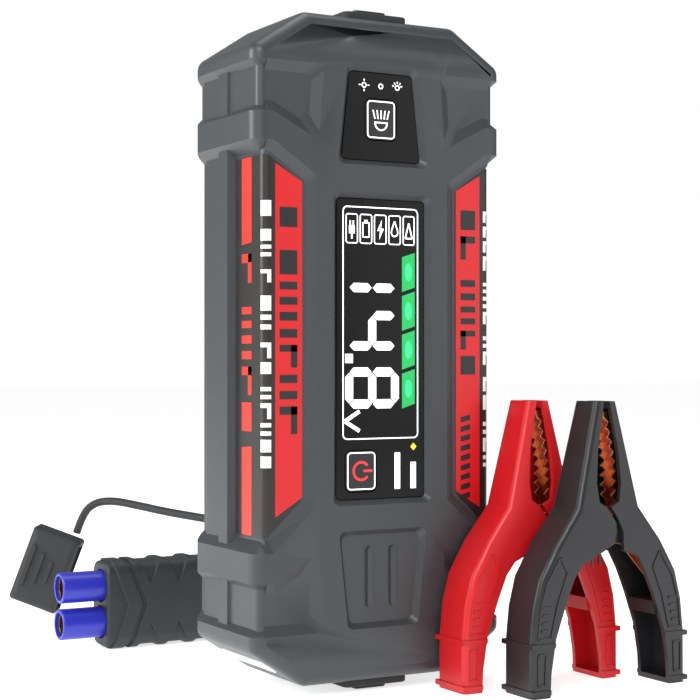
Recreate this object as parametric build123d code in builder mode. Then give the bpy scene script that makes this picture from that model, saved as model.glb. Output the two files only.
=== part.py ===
"""Car jump starter pack, standing on end, with its plug-in lead connector and two battery clamps.

Millimetres. +Z is up, +X is to the right of someone facing the display, and the display faces -Y.
The origin is the centre of the pack's foot, on the surface that everything stands on.
"""

from build123d import *
import os
from math import tan, radians

os.makedirs("parts", exist_ok=True)

# ---------------------------------------------------------------- driving dimensions
WIDTH = 98.0  # pack, across the display
DEPTH = 49.0  # pack, front to back
HEIGHT = 226.0  # pack body, without its end covers
CHAMFER_X = 19.7  # corner chamfer, measured across
CHAMFER_Z = 13.0  # corner chamfer, measured up
EDGE_R = 4.8  # rounding of the front and back outlines
CORNER_R = 4.0  # rounding of the chamfer corners seen from the front
WALL = 2.2

COVER_BASE = 2.4  # end cover plate, proud of the end face
COVER_TIP = 1.6  # pull tab, proud of that plate
FOOT = COVER_BASE + COVER_TIP  # gap between the surface and the body
BODY_TOP = FOOT + HEIGHT
FRONT_Y = -DEPTH / 2
BACK_Y = DEPTH / 2
HALF_W = WIDTH / 2
HALF_FLAT = HALF_W - CHAMFER_X
BIG = 300.0
TO_FRONT = (0, -1, 0)

RECESS = 2.0  # depth of every recess in the front face
TAPER = 40.0  # slope of the walls round the display, the lamp panel and on the sides
FACE_TAPER = 60.0  # slope of the wide walls round the side recesses, on the front face
RIB_TAPER = 20.0  # slope of the joint rib's sides
SEAM_Y = 3.5  # where the shells meet
RIB_FRONT = -0.5  # front edge of the raised rib along the joint
RIB_BACK = 6.5

FIT = 0.25  # gap round a button or a cover plug
SHEET = 0.3  # label film thickness


def save(piece, name):
    """Label a finished piece and write its STEP file."""
    piece.label = name
    export_step(piece, f"parts/{name}.step")


def box_between(low, high):
    """Box from its lowest corner to its highest."""
    size = [b - a for a, b in zip(low, high)]
    middle = tuple((a + b) / 2 for a, b in zip(low, high))
    with BuildPart() as block:
        with Locations(middle):
            Box(*size)
    return block.part


# ---------------------------------------------------------------- pack body
def body_outline(y, inset_x, inset_z, radius):
    """Chamfered rectangle seen from the front, as a sketch on the plane at y that faces the front."""
    half = HALF_W - inset_x
    flat = HALF_FLAT - (inset_x + inset_z) / 2
    low = FOOT + inset_z
    high = BODY_TOP - inset_z
    with BuildSketch(Plane.XZ.offset(-y)) as outline:
        with BuildLine():
            Polyline(
                (-flat, low),
                (flat, low),
                (half, low + CHAMFER_Z),
                (half, high - CHAMFER_Z),
                (flat, high),
                (-flat, high),
                (-half, high - CHAMFER_Z),
                (-half, low + CHAMFER_Z),
                close=True,
            )
        make_face()
        fillet(outline.vertices(), radius)
    return outline.sketch


def rounded_body(inset_x, inset_z, inset_y, edge_r):
    """Full-depth body inset from the outer one, with its front and back outlines rounded."""
    with BuildPart() as body:
        outline = body_outline(BACK_Y - inset_y, inset_x, inset_z, CORNER_R)
        extrude(outline, amount=DEPTH - 2 * inset_y, dir=TO_FRONT)
        rims = body.faces().filter_by(Axis.Y).edges()
        fillet(rims, edge_r)
    return body.part


def grown_outline(plane, points, grow, radius):
    """Polygon on a plane, grown outwards by an amount, with rounded corners."""
    with BuildSketch(plane) as outline:
        with BuildLine():
            Polyline(*points, close=True)
        make_face()
        offset(amount=grow, kind=Kind.INTERSECTION)
        fillet(outline.vertices(), radius)
    return outline.sketch


def front_cutter(points, radius, depth, taper=TAPER):
    """Recess with sloping walls that goes into the front face; points lie on that face."""
    lead = 1.0
    slope = tan(radians(taper))
    mouth = Plane.XZ.offset(lead - FRONT_Y)
    floor = Plane.XZ.offset(-FRONT_Y - depth)
    with BuildPart() as cutter:
        add(grown_outline(mouth, points, lead * slope, radius))
        add(grown_outline(floor, points, -depth * slope, radius))
        loft(ruled=True)
    return cutter.part


def side_cutter(side, y_low, y_high, z_low, z_high, depth):
    """Recess into one side face, with steep walls beside the joint rib; side is +1 or -1."""
    lead = 1.0
    up = tan(radians(TAPER))
    along = tan(radians(RIB_TAPER))
    middle = ((y_low + y_high) / 2, (z_low + z_high) / 2)
    with BuildPart() as cutter:
        for x, grow in ((HALF_W + lead, lead), (HALF_W - depth, -depth)):
            plane = Plane((side * x, 0, 0), x_dir=(0, 1, 0), z_dir=(1, 0, 0))
            with BuildSketch(plane):
                with Locations(middle):
                    Rectangle(y_high - y_low + 2 * grow * along, z_high - z_low + 2 * grow * up)
        loft(ruled=True)
    return cutter.part


def corner_cutter(side, z_low, z_high):
    """Recess round a front corner, between the front cutter and the side cutter."""
    x = side * (HALF_W - EDGE_R)
    y = FRONT_Y + EDGE_R
    reach = EDGE_R + 1.0
    slope = tan(radians(TAPER))
    deep = EDGE_R * slope
    with BuildPart() as cutter:
        with BuildSketch(Plane((x, y, 0), x_dir=(1, 0, 0), z_dir=(0, -1, 0))):
            with BuildLine():
                Polyline(
                    (0, z_low + deep),
                    (reach, z_low - slope),
                    (reach, z_high + slope),
                    (0, z_high - deep),
                    close=True,
                )
            make_face()
        revolve(axis=Axis((x, y, 0), (0, 0, 1)))
        corner = box_between(
            (min(x, side * BIG), -BIG, -BIG),
            (max(x, side * BIG), y, BIG),
        )
        add(corner, mode=Mode.INTERSECT)
    return cutter.part


def mirrored_points(points):
    """The same outline on the other side of the pack."""
    return [(-x, z) for x, z in reversed(points)]


# Heights are given from the foot. The outer ends of the side recesses run past the side face.
OUT = HALF_W + 4.0
CORNER_TOP = FOOT + 208.5
CORNER_STEP = FOOT + 191.4
CORNER_LOW = FOOT + 185.0
LABEL_TOP = FOOT + 182.0
LABEL_SHOULDER = FOOT + 171.0
LABEL_FOOT = FOOT + 60.5
LABEL_BOTTOM = FOOT + 45.5
LOWER_PEAK = FOOT + 43.5
LOWER_TOP = FOOT + 35.5
LOWER_BOTTOM = FOOT + 18.0

upper_recess = [
    (22.9, CORNER_TOP),
    (24.9, CORNER_LOW - 2.4),
    (42.0, CORNER_STEP),
    (OUT, CORNER_STEP),
    (OUT, CORNER_TOP),
]
label_recess = [
    (25.8, LABEL_SHOULDER),
    (25.8, LABEL_FOOT),
    (42.0, LABEL_BOTTOM),
    (OUT, LABEL_BOTTOM),
    (OUT, LABEL_TOP),
    (42.0, LABEL_TOP),
]
lower_recess = [
    (23.2, LOWER_BOTTOM),
    (OUT, LOWER_BOTTOM),
    (OUT, LOWER_TOP),
    (42.0, LOWER_TOP),
    (25.0, LOWER_PEAK + 1.4),
]
centre_recess = [
    (-13.8, FOOT + 18.2),
    (13.8, FOOT + 18.2),
    (17.4, FOOT + 51.5),
    (-17.4, FOOT + 51.5),
]
DISPLAY_LOW = FOOT + 60.0
DISPLAY_HIGH = FOOT + 166.0
display_recess = [
    (-19.3, DISPLAY_LOW),
    (19.3, DISPLAY_LOW),
    (19.3, DISPLAY_HIGH),
    (-19.3, DISPLAY_HIGH),
]
LAMP_LOW = FOOT + 175.5
LAMP_HIGH = FOOT + 209.3
lamp_recess = [
    (-17.7, LAMP_LOW),
    (17.7, LAMP_LOW),
    (14.0, LAMP_HIGH),
    (-14.0, LAMP_HIGH),
]

RIB_DEPTH = 1.5  # side inset of the joint rib inside the recesses
CORNER_FLOOR = 2.4  # side inset of the corner recess floors
LABEL_FLOOR = 4.4
LABEL_BACK_FLOOR = 3.3  # side inset behind the rib, beside the label
FLOOR_R = 2.5  # rounding where a recess floor turns the corner
FACE_EXTRA = 0.5  # how far the front cutters run below their floors
EXTRA = 1.0  # how far the side cutters run below their floors
CAVITY_X = LABEL_FLOOR + WALL
CAVITY_Y = RECESS + WALL
CAVITY_Z = 2.6

side_zones = [
    (upper_recess, CORNER_STEP, CORNER_TOP, CORNER_FLOOR, CORNER_FLOOR, 2.4),
    (label_recess, LABEL_BOTTOM, LABEL_TOP, LABEL_FLOOR, LABEL_BACK_FLOOR, 3.0),
    (lower_recess, LOWER_BOTTOM, LOWER_TOP, CORNER_FLOOR, CORNER_FLOOR, 2.4),
]


def rib_cut(side, z_low, z_high):
    """Shallow recess across both shells, down to the joint rib."""
    return side_cutter(side, -BIG / 4, BIG / 4, z_low, z_high, RIB_DEPTH)


def front_half():
    """Front shell's outside, with its side recesses."""
    rib_front = RIB_FRONT + RIB_DEPTH * tan(radians(RIB_TAPER))
    with BuildPart() as half:
        add(rounded_body(0, 0, 0, EDGE_R))
        split(bisect_by=Plane.XZ.offset(-SEAM_Y), keep=Keep.TOP)
        for points, z_low, z_high, floor, _, radius in side_zones:
            floor_body = rounded_body(floor, 0, RECESS, FLOOR_R)
            face = front_cutter(mirrored_points(points), radius, RECESS + FACE_EXTRA, FACE_TAPER)
            deep = side_cutter(-1, FRONT_Y - 5, rib_front, z_low, z_high, floor + EXTRA)
            turn = corner_cutter(-1, z_low, z_high)
            left = (face + deep + turn) - floor_body
            for tool in (left, left.mirror(Plane.YZ)):
                add(tool, mode=Mode.SUBTRACT)
            for side in (1, -1):
                add(rib_cut(side, z_low, z_high), mode=Mode.SUBTRACT)
    return half.part


def back_half():
    """Back shell's outside: the same bands, with shallower side recesses and a whole back face."""
    rib_back = RIB_BACK - RIB_DEPTH * tan(radians(RIB_TAPER))
    with BuildPart() as half:
        add(rounded_body(0, 0, 0, EDGE_R))
        split(bisect_by=Plane.XZ.offset(-SEAM_Y), keep=Keep.BOTTOM)
        for _, z_low, z_high, _, floor, _ in side_zones:
            floor_body = rounded_body(floor, 0, 0, EDGE_R)
            for side in (1, -1):
                deep = side_cutter(side, rib_back, BACK_Y + 5, z_low, z_high, floor + EXTRA)
                add(deep - floor_body, mode=Mode.SUBTRACT)
                add(rib_cut(side, z_low, z_high), mode=Mode.SUBTRACT)
    return half.part


# ---------------------------------------------------------------- places inside the pack
PANEL_GAP = 0.2  # round each window panel
PANEL_PROUD = 0.2  # a panel's front above the recess floor
PANEL_T = 1.2
PANEL_Y = FRONT_Y + RECESS - PANEL_PROUD  # front of both panels
WALL_RUN = RECESS * tan(radians(TAPER))
LEDGE = 2.5  # shelf that a panel rests on

GASKET_X = LABEL_FLOOR + 0.6
GASKET_Z = 0.8
GASKET_W = 1.2
GASKET_H = 0.7  # each side of the joint

PORT_X = 20.0  # opening in each end
PORT_Y = 35.0
PORT_R = 3.0

SCREW_X = 34.0
SCREW_LOW = FOOT + 40.0
SCREW_HIGH = FOOT + 201.0
BOSS_R = 4.5
SCREW_R = 1.5
SCREW_HEAD_R = 3.0
SCREW_HEAD_H = 2.2
SEAT_Y = 10.0  # where the screw heads bear
SCREW_END = -9.0
JOINT_GAP = 0.1  # between the facing bosses

LENS_LENGTH = 36.0
LENS_WIDTH = 8.0
LENS_T = 2.0
LENS_PROUD = 0.4
CHAMFER_LEN = (CHAMFER_X**2 + CHAMFER_Z**2) ** 0.5
LENS_PLANE = Plane(
    origin=(-HALF_W + CHAMFER_X / 2, 0, FOOT + CHAMFER_Z / 2),
    x_dir=(0, 1, 0),
    z_dir=(-CHAMFER_Z / CHAMFER_LEN, 0, -CHAMFER_X / CHAMFER_LEN),
)

CELL_X = 78.0
CELL_Y = 8.0
CELL_Z = 128.0
CELL_PITCH = 8.1
CELL_LOW = FOOT + 58.0
CELL_FRONT = -14.0
CELL_MID = CELL_LOW + CELL_Z / 2
PACK_BACK = CELL_FRONT + 4 * CELL_PITCH

BOARD_T = 1.6
DISPLAY_BOARD_Y = -18.3  # front of the display board
KEY_X = 12.0
KEY_Z = 13.8
KEY_R = 2.2
KEY_PROUD = 0.2
KEY_T = 1.8
POWER_X = -7.8
POWER_Z = FOOT + 71.5
LAMP_KEY_Z = FOOT + 191.5
KEY_TRAVEL = 0.8
STEM_R = 2.0
STEM_END = -20.2
SWITCH_TOP = -19.2
SWITCH_SIDE = 6.0

BULLET_R = 6.0  # outside of the plug's two round shrouds
BULLET_GAP = 14.2  # between their centres
CONTACT_R = 4.0  # bore of the plug's contacts, and so the socket's pins
SOCKET_LOW = FOOT + 3.0
SOCKET_H = 24.0


def panel_sketch(points, inset, radius):
    """Outline of a window panel, or of the opening behind it, as a face on the XZ plane."""
    with BuildSketch(Plane.XZ) as panel:
        with BuildLine():
            Polyline(*points, close=True)
        make_face()
        offset(amount=-inset, kind=Kind.INTERSECTION)
        fillet(panel.vertices(), radius)
    return panel.sketch


def plate(face, y_front, y_back):
    """Flat plate between two depths, from a face drawn on the XZ plane."""
    with BuildPart() as flat:
        extrude(face.moved(Location((0, y_back, 0))), amount=y_back - y_front, dir=TO_FRONT)
    return flat.part


def key_face(x, z, grow):
    """Rounded rectangle of a key's top, on the XZ plane."""
    with BuildSketch(Plane.XZ) as top:
        with Locations((x, z)):
            RectangleRounded(KEY_X + 2 * grow, KEY_Z + 2 * grow, KEY_R + grow)
    return top.sketch


def cylinder_y(x, z, radius, y_front, y_back):
    """Cylinder along Y between two depths."""
    with BuildPart() as rod:
        with Locations(Location((x, (y_front + y_back) / 2, z), (90, 0, 0))):
            Cylinder(radius, y_back - y_front)
    return rod.part


def cylinder_z(x, y, radius, z_low, z_high):
    """Upright cylinder between two heights."""
    with BuildPart() as rod:
        with Locations((x, y, (z_low + z_high) / 2)):
            Cylinder(radius, z_high - z_low)
    return rod.part


screw_places = [(sx * SCREW_X, z) for sx in (-1, 1) for z in (SCREW_LOW, SCREW_HIGH)]


def gasket_ring():
    """Sealing cord in the joint between the shells, open at the end ports and at the lamp."""
    outer = body_outline(SEAM_Y + GASKET_H, GASKET_X, GASKET_Z, CORNER_R - 1)
    inner = body_outline(SEAM_Y + GASKET_H, GASKET_X + GASKET_W, GASKET_Z + GASKET_W, CORNER_R - 2)
    half_port = PORT_X / 2 + GASKET_W
    with BuildPart() as ring:
        extrude(outer, amount=2 * GASKET_H, dir=TO_FRONT)
        extrude(inner, amount=2 * GASKET_H, dir=TO_FRONT, mode=Mode.SUBTRACT)
        gap = box_between((-half_port, -BIG, 0), (half_port, BIG, BIG))
        add(gap, mode=Mode.SUBTRACT)
        with BuildSketch(LENS_PLANE.offset(LENS_T)):
            SlotOverall(LENS_LENGTH + 2 * GASKET_W, LENS_WIDTH + 2 * GASKET_W)
        extrude(amount=-6 * LENS_T, mode=Mode.SUBTRACT)
    return ring.part


def common_cuts():
    """Cuts that both shells share: the cavity, the end ports, the lamp window and the gasket groove."""
    floor_outline = body_outline(BACK_Y - CAVITY_Y, CAVITY_X, CAVITY_Z, CORNER_R)
    with BuildPart() as cuts:
        extrude(floor_outline, amount=DEPTH - 2 * CAVITY_Y, dir=TO_FRONT)
        with BuildSketch(Plane.XY):
            RectangleRounded(PORT_X, PORT_Y, PORT_R)
        extrude(amount=BIG)
        with BuildSketch(LENS_PLANE.offset(LENS_T)):
            SlotOverall(LENS_LENGTH, LENS_WIDTH)
        extrude(amount=-2 * LENS_T)
        with BuildSketch(LENS_PLANE):
            SlotOverall(LENS_LENGTH - LEDGE, LENS_WIDTH - LEDGE)
        extrude(amount=-4 * LENS_T)
        add(gasket_ring())
    return cuts.part


def make_front_shell(half, cuts):
    """Front shell: recesses, windows for both panels, grip ribs and screw bosses."""
    with BuildPart() as shell:
        add(half)
        for points in (centre_recess, display_recess, lamp_recess):
            add(front_cutter(points, 2.4, RECESS), mode=Mode.SUBTRACT)
        add(cuts, mode=Mode.SUBTRACT)
        for points in (display_recess, lamp_recess):
            pocket = panel_sketch(points, WALL_RUN, 1.6)
            window = panel_sketch(points, WALL_RUN + LEDGE, 1.0)
            add(plate(pocket, PANEL_Y - 1, PANEL_Y + PANEL_T), mode=Mode.SUBTRACT)
            add(plate(window, PANEL_Y, 0), mode=Mode.SUBTRACT)
        rib_floor = FRONT_Y + RECESS
        with BuildSketch(Plane.XZ.offset(-rib_floor)):
            with Locations((-RIB_X, RIB_Z), (RIB_X, RIB_Z)):
                SlotOverall(RIB_LENGTH, RIB_WIDTH, rotation=90)
        extrude(amount=RIB_HEIGHT, taper=10)
        for x, z in screw_places:
            add(cylinder_y(x, z, BOSS_R - 1, FRONT_Y + CAVITY_Y, SEAM_Y - JOINT_GAP))
            add(cylinder_y(x, z, SCREW_R, SCREW_END - 1, SEAM_Y), mode=Mode.SUBTRACT)
        add(gasket_ring(), mode=Mode.SUBTRACT)
    return shell.part


def make_back_shell(half, cuts):
    """Back shell: the same bands and recesses, a shallow middle panel and screw wells."""
    with BuildPart() as shell:
        add(half)
        add(cuts, mode=Mode.SUBTRACT)
        add(front_cutter(back_recess, 3.0, BACK_RECESS).mirror(Plane.XZ), mode=Mode.SUBTRACT)
        for x, z in screw_places:
            add(cylinder_y(x, z, BOSS_R, SEAM_Y + JOINT_GAP, BACK_Y - CAVITY_Y))
            add(cylinder_y(x, z, SCREW_R + 0.2, 0, BACK_Y), mode=Mode.SUBTRACT)
            add(cylinder_y(x, z, SCREW_HEAD_R + 0.3, SEAT_Y, BACK_Y), mode=Mode.SUBTRACT)
    return shell.part


RIB_X = 4.6
RIB_Z = FOOT + 35.3
RIB_LENGTH = 20.6
RIB_WIDTH = 2.4
RIB_HEIGHT = 1.0
BACK_RECESS = 1.0
back_recess = [
    (-18.0, FOOT + 60.0),
    (18.0, FOOT + 60.0),
    (18.0, FOOT + 166.0),
    (-18.0, FOOT + 166.0),
]


def make_screws():
    """Four self-tapping screws that hold the shells together."""
    with BuildPart() as screws:
        for x, z in screw_places:
            add(cylinder_y(x, z, SCREW_R, SCREW_END, SEAT_Y))
            add(cylinder_y(x, z, SCREW_HEAD_R, SEAT_Y, SEAT_Y + SCREW_HEAD_H))
            slot_y = SEAT_Y + SCREW_HEAD_H - 0.8
            for a, b in ((0.4, 2.0), (2.0, 0.4)):
                low = (x - a, slot_y, z - b)
                high = (x + a, BACK_Y, z + b)
                add(box_between(low, high), mode=Mode.SUBTRACT)
    return screws.part


def make_panel(points, keys):
    """Gloss window panel with a hole for each key that comes through it."""
    with BuildPart() as panel:
        add(plate(panel_sketch(points, WALL_RUN + PANEL_GAP, 1.4), PANEL_Y, PANEL_Y + PANEL_T))
        for x, z in keys:
            hole = key_face(x, z, FIT)
            add(plate(hole, PANEL_Y - 1, PANEL_Y + PANEL_T + 1), mode=Mode.SUBTRACT)
    return panel.part


def make_key(x, z):
    """Push key: rounded cap and the stem behind it."""
    front = PANEL_Y - KEY_PROUD
    with BuildPart() as key:
        add(plate(key_face(x, z, 0), front, front + KEY_T))
        fillet(key.faces().sort_by(Axis.Y)[0].edges(), 0.3)
        add(cylinder_y(x, z, STEM_R, front + KEY_T, STEM_END))
    return key.part


def make_switches():
    """Two tactile switches on the display board, one behind each key."""
    half = SWITCH_SIDE / 2
    with BuildPart() as switches:
        for x, z in ((POWER_X, POWER_Z), (0.0, LAMP_KEY_Z)):
            low = (x - half, SWITCH_TOP + 0.3, z - half)
            high = (x + half, DISPLAY_BOARD_Y, z + half)
            add(box_between(low, high))
            add(cylinder_y(x, z, STEM_R - 0.3, SWITCH_TOP, SWITCH_TOP + 0.3))
    return switches.part


def make_label(side):
    """Printed film in the long side recess, wrapped round the front corner."""
    points = label_recess if side > 0 else mirrored_points(label_recess)
    edge_z = LABEL_FLOOR * tan(radians(TAPER)) + 1.1
    edge_y = RIB_FRONT - (LABEL_FLOOR - RIB_DEPTH) * tan(radians(RIB_TAPER)) - 0.4
    inset = RECESS * tan(radians(FACE_TAPER)) + 1.3
    with BuildPart() as film:
        add(rounded_body(LABEL_FLOOR - SHEET, 0, RECESS - SHEET, FLOOR_R + SHEET))
        add(rounded_body(LABEL_FLOOR, 0, RECESS, FLOOR_R), mode=Mode.SUBTRACT)
        region = plate(panel_sketch(points, inset, 2.0), FRONT_Y, edge_y)
        add(region, mode=Mode.INTERSECT)
        window = box_between((-BIG, -BIG, LABEL_BOTTOM + edge_z), (BIG, BIG, LABEL_TOP - edge_z))
        add(window, mode=Mode.INTERSECT)
    return film.part


def make_lens():
    """Clear work-lamp window in the lower left corner."""
    with BuildPart() as lens:
        with BuildSketch(LENS_PLANE.offset(-LENS_T)):
            SlotOverall(LENS_LENGTH - 2 * PANEL_GAP, LENS_WIDTH - 2 * PANEL_GAP)
        extrude(amount=LENS_T + LENS_PROUD)
        chamfer(lens.faces().sort_by(Axis.Z)[0].edges(), 0.3)
    return lens.part


LAMP_BOARD_DEPTH = 7.5
LAMP_BOARD_T = 1.2
LED_SIDE = 3.5
LED_PITCH = 10.0


def make_lamp_board():
    """Board behind the lamp window."""
    with BuildPart() as board:
        with BuildSketch(LENS_PLANE.offset(-LAMP_BOARD_DEPTH - LAMP_BOARD_T)):
            RectangleRounded(LENS_LENGTH, LENS_WIDTH + 2, 1.0)
        extrude(amount=LAMP_BOARD_T)
    return board.part


def make_lamp_leds():
    """Three white emitters on the lamp board."""
    with BuildPart() as leds:
        with BuildSketch(LENS_PLANE.offset(-LAMP_BOARD_DEPTH)):
            with GridLocations(LED_PITCH, 1, 3, 1):
                Rectangle(LED_SIDE, LED_SIDE)
        extrude(amount=1.6)
    return leds.part


# ---------------------------------------------------------------- inside the pack
def make_cell(index):
    """One pouch cell, with its long edges rounded."""
    y = CELL_FRONT + index * CELL_PITCH
    with BuildPart() as cell:
        add(box_between((-CELL_X / 2, y, CELL_LOW), (CELL_X / 2, y + CELL_Y, CELL_LOW + CELL_Z)))
        fillet(cell.edges().filter_by(Axis.Z), 2.5)
    return cell.part


TAB_X = 20.0
TAB_W = 12.0
TAB_T = 0.4
TAB_DROP = 5.0
LINK_LOW = CELL_LOW - TAB_DROP - BOARD_T
LINK_X = 66.0


def make_cell_tabs():
    """Two metal tabs under each cell."""
    with BuildPart() as tabs:
        for index in range(4):
            y = CELL_FRONT + index * CELL_PITCH + CELL_Y / 2
            for x in (-TAB_X, TAB_X):
                low = (x - TAB_W / 2, y - TAB_T / 2, CELL_LOW - TAB_DROP)
                add(box_between(low, (x + TAB_W / 2, y + TAB_T / 2, CELL_LOW)))
    return tabs.part


def make_link_board():
    """Board under the cells that joins their tabs."""
    low = (-LINK_X / 2, CELL_FRONT, LINK_LOW)
    return box_between(low, (LINK_X / 2, PACK_BACK, LINK_LOW + BOARD_T))


TRAY_WALL = 1.5
TRAY_GAP = 0.3
FOAM_T = 1.2


def make_cell_tray():
    """Frame round the stack of cells, open at the front, the back and the bottom."""
    half = CELL_X / 2 + TRAY_GAP
    high = CELL_LOW + CELL_Z + TRAY_GAP
    y_low = CELL_FRONT - FOAM_T
    y_high = PACK_BACK + FOAM_T
    with BuildPart() as tray:
        low = (-half - TRAY_WALL, y_low, CELL_LOW)
        add(box_between(low, (half + TRAY_WALL, y_high, high + TRAY_WALL)))
        add(box_between((-half, -BIG, 0), (half, BIG, high)), mode=Mode.SUBTRACT)
        for side in (-1, 1):
            low = (side * (half + TRAY_WALL) - TRAY_WALL / 2, -BIG / 4, CELL_LOW + CELL_Z / 4)
            notch = box_between(low, (low[0] + TRAY_WALL, BIG / 4, CELL_LOW + 3 * CELL_Z / 4))
            add(notch, mode=Mode.SUBTRACT)
    return tray.part


def make_foam(y_low, y_high):
    """Foam pad over a flat side of the stack."""
    margin = 4.0
    low = (-CELL_X / 2 + margin, y_low, CELL_LOW + margin)
    return box_between(low, (CELL_X / 2 - margin, y_high, CELL_LOW + CELL_Z - margin))


def make_display_board():
    """Board behind the display and the lamp key."""
    low = (-17.5, DISPLAY_BOARD_Y, DISPLAY_LOW + 3)
    return box_between(low, (17.5, DISPLAY_BOARD_Y + BOARD_T, LAMP_HIGH - 11))


def make_display_module():
    """Segment display block behind its window."""
    low = (-14.5, PANEL_Y + PANEL_T, FOOT + 82)
    return box_between(low, (14.5, DISPLAY_BOARD_Y, FOOT + 161))


MAIN_BOARD_Y = 17.0


def make_main_board():
    """Power board beside the socket."""
    low = (-28, MAIN_BOARD_Y, FOOT + 6)
    return box_between(low, (28, MAIN_BOARD_Y + BOARD_T, LINK_LOW - 2))


def make_relay():
    """Relay that connects the cells to the socket."""
    with BuildPart() as relay:
        add(box_between((-27, 1, FOOT + 12), (-11, MAIN_BOARD_Y, FOOT + 32)))
        fillet(relay.edges().filter_by(Axis.Y), 1.0)
    return relay.part


def make_capacitors():
    """Two round capacitors on the power board."""
    with BuildPart() as caps:
        for z in (FOOT + 18, FOOT + 30):
            add(cylinder_y(19, z, 5, 2, MAIN_BOARD_Y))
    return caps.part


def make_transistors():
    """Row of flat power transistors on the power board."""
    with BuildPart() as row:
        for x in (-21, -7, 7, 21):
            low = (x - 4.5, MAIN_BOARD_Y - 4.5, FOOT + 37)
            add(box_between(low, (x + 4.5, MAIN_BOARD_Y, FOOT + 47)))
    return row.part


PIN_TOP = SOCKET_LOW + SOCKET_H + 3.0
PIN_LOW = SOCKET_LOW + 7.0
socket_places = [(0, -BULLET_GAP / 2), (0, BULLET_GAP / 2)]


def make_jump_socket():
    """Moulded block with two round wells that take the lead connector's shrouds."""
    with BuildPart() as socket:
        with BuildSketch(Plane.XY.offset(SOCKET_LOW)):
            RectangleRounded(2 * BULLET_R + 3.5, BULLET_GAP + 2 * BULLET_R + 5, 3.0)
        extrude(amount=SOCKET_H)
        for x, y in socket_places:
            well = cylinder_z(x, y, BULLET_R + FIT, 0, SOCKET_LOW + SOCKET_H - 3)
            pin = cylinder_z(x, y, CONTACT_R - 0.1, 0, BIG)
            add(well, mode=Mode.SUBTRACT)
            add(pin, mode=Mode.SUBTRACT)
    return socket.part


def make_socket_pins():
    """Two round brass pins in the socket."""
    with BuildPart() as pins:
        for x, y in socket_places:
            add(cylinder_z(x, y, CONTACT_R - 0.1, PIN_LOW, PIN_TOP))
        chamfer(pins.edges().group_by(Axis.Z)[0], 0.8)
    return pins.part


def make_busbar(y):
    """Copper strip from a socket pin up to the link board."""
    return box_between((-4, y - 0.75, PIN_TOP), (4, y + 0.75, LINK_LOW))


CHARGE_X = -5.6
PORT_TOP = BODY_TOP - 3.2


def make_charge_board():
    """Board that carries the charging ports."""
    low = (CHARGE_X, -18, BODY_TOP - 26)
    return box_between(low, (CHARGE_X + BOARD_T, 18, BODY_TOP - 5))


def make_usb_c_port():
    """Charging port with a rounded slot."""
    x = CHARGE_X + BOARD_T
    with BuildPart() as port:
        add(box_between((x, -16.5, PORT_TOP - 8), (x + 3.6, -7.3, PORT_TOP)))
        with BuildSketch(Plane.XY.offset(PORT_TOP)):
            with Locations((x + 1.8, -11.9)):
                SlotOverall(8.4, 2.6, rotation=90)
        extrude(amount=-6.5, mode=Mode.SUBTRACT)
        add(box_between((x + 1.5, -15, PORT_TOP - 7), (x + 2.1, -8.8, PORT_TOP - 1)))
    return port.part


def make_usb_a_port():
    """Wider output port with a flat tongue."""
    x = CHARGE_X + BOARD_T
    with BuildPart() as port:
        add(box_between((x, -5.7, PORT_TOP - 14), (x + 6.2, 7.5, PORT_TOP)))
        add(box_between((x + 0.5, -5.2, PORT_TOP - 11), (x + 5.7, 7.0, BIG)), mode=Mode.SUBTRACT)
        add(box_between((x + 0.5, -4.6, PORT_TOP - 12), (x + 2.3, 6.4, PORT_TOP - 1.5)))
    return port.part


def make_dc_port():
    """Round power outlet with its centre pin."""
    x = CHARGE_X + BOARD_T
    with BuildPart() as port:
        add(box_between((x, 9, PORT_TOP - 12), (x + 9, 17.4, PORT_TOP)))
        add(cylinder_z(x + 4.5, 13.2, 3.0, PORT_TOP - 10, BIG), mode=Mode.SUBTRACT)
        add(cylinder_z(x + 4.5, 13.2, 1.0, PORT_TOP - 11, PORT_TOP - 1))
    return port.part


# ---------------------------------------------------------------- end covers
COVER_X = 25.0
COVER_Y = 40.0
TIP_X = 12.5
TIP_Y = 32.0
COVER_LIFT = 0.05
PLUG_DEPTH = 2.2
PLUG_WALL = 1.6


def make_top_cover():
    """Rubber cover of the charging ports: plate, pull tab and the ring that plugs the opening."""
    base = BODY_TOP + COVER_LIFT
    with BuildPart() as cover:
        with BuildSketch(Plane.XY.offset(base)):
            RectangleRounded(COVER_X, COVER_Y, 2.5)
        extrude(amount=COVER_BASE - COVER_LIFT)
        fillet(cover.faces().sort_by(Axis.Z)[-1].edges(), 0.7)
        with BuildSketch(Plane.XY.offset(BODY_TOP + COVER_BASE)):
            RectangleRounded(TIP_X, TIP_Y, 1.5)
        extrude(amount=COVER_TIP)
        fillet(cover.faces().sort_by(Axis.Z)[-1].edges(), 0.5)
        with BuildSketch(Plane.XY.offset(base)):
            RectangleRounded(PORT_X - 2 * FIT, PORT_Y - 2 * FIT, PORT_R - FIT)
            inner_x = PORT_X - 2 * FIT - 2 * PLUG_WALL
            inner_y = PORT_Y - 2 * FIT - 2 * PLUG_WALL
            RectangleRounded(inner_x, inner_y, PORT_R - FIT - 1, mode=Mode.SUBTRACT)
        extrude(amount=-PLUG_DEPTH)
    return cover.part


def make_bottom_cover(top):
    """Rubber cover of the jump socket, the same as the top one, the other way up."""
    middle = Plane.XY.offset(FOOT + HEIGHT / 2)
    return top.mirror(middle)


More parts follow.
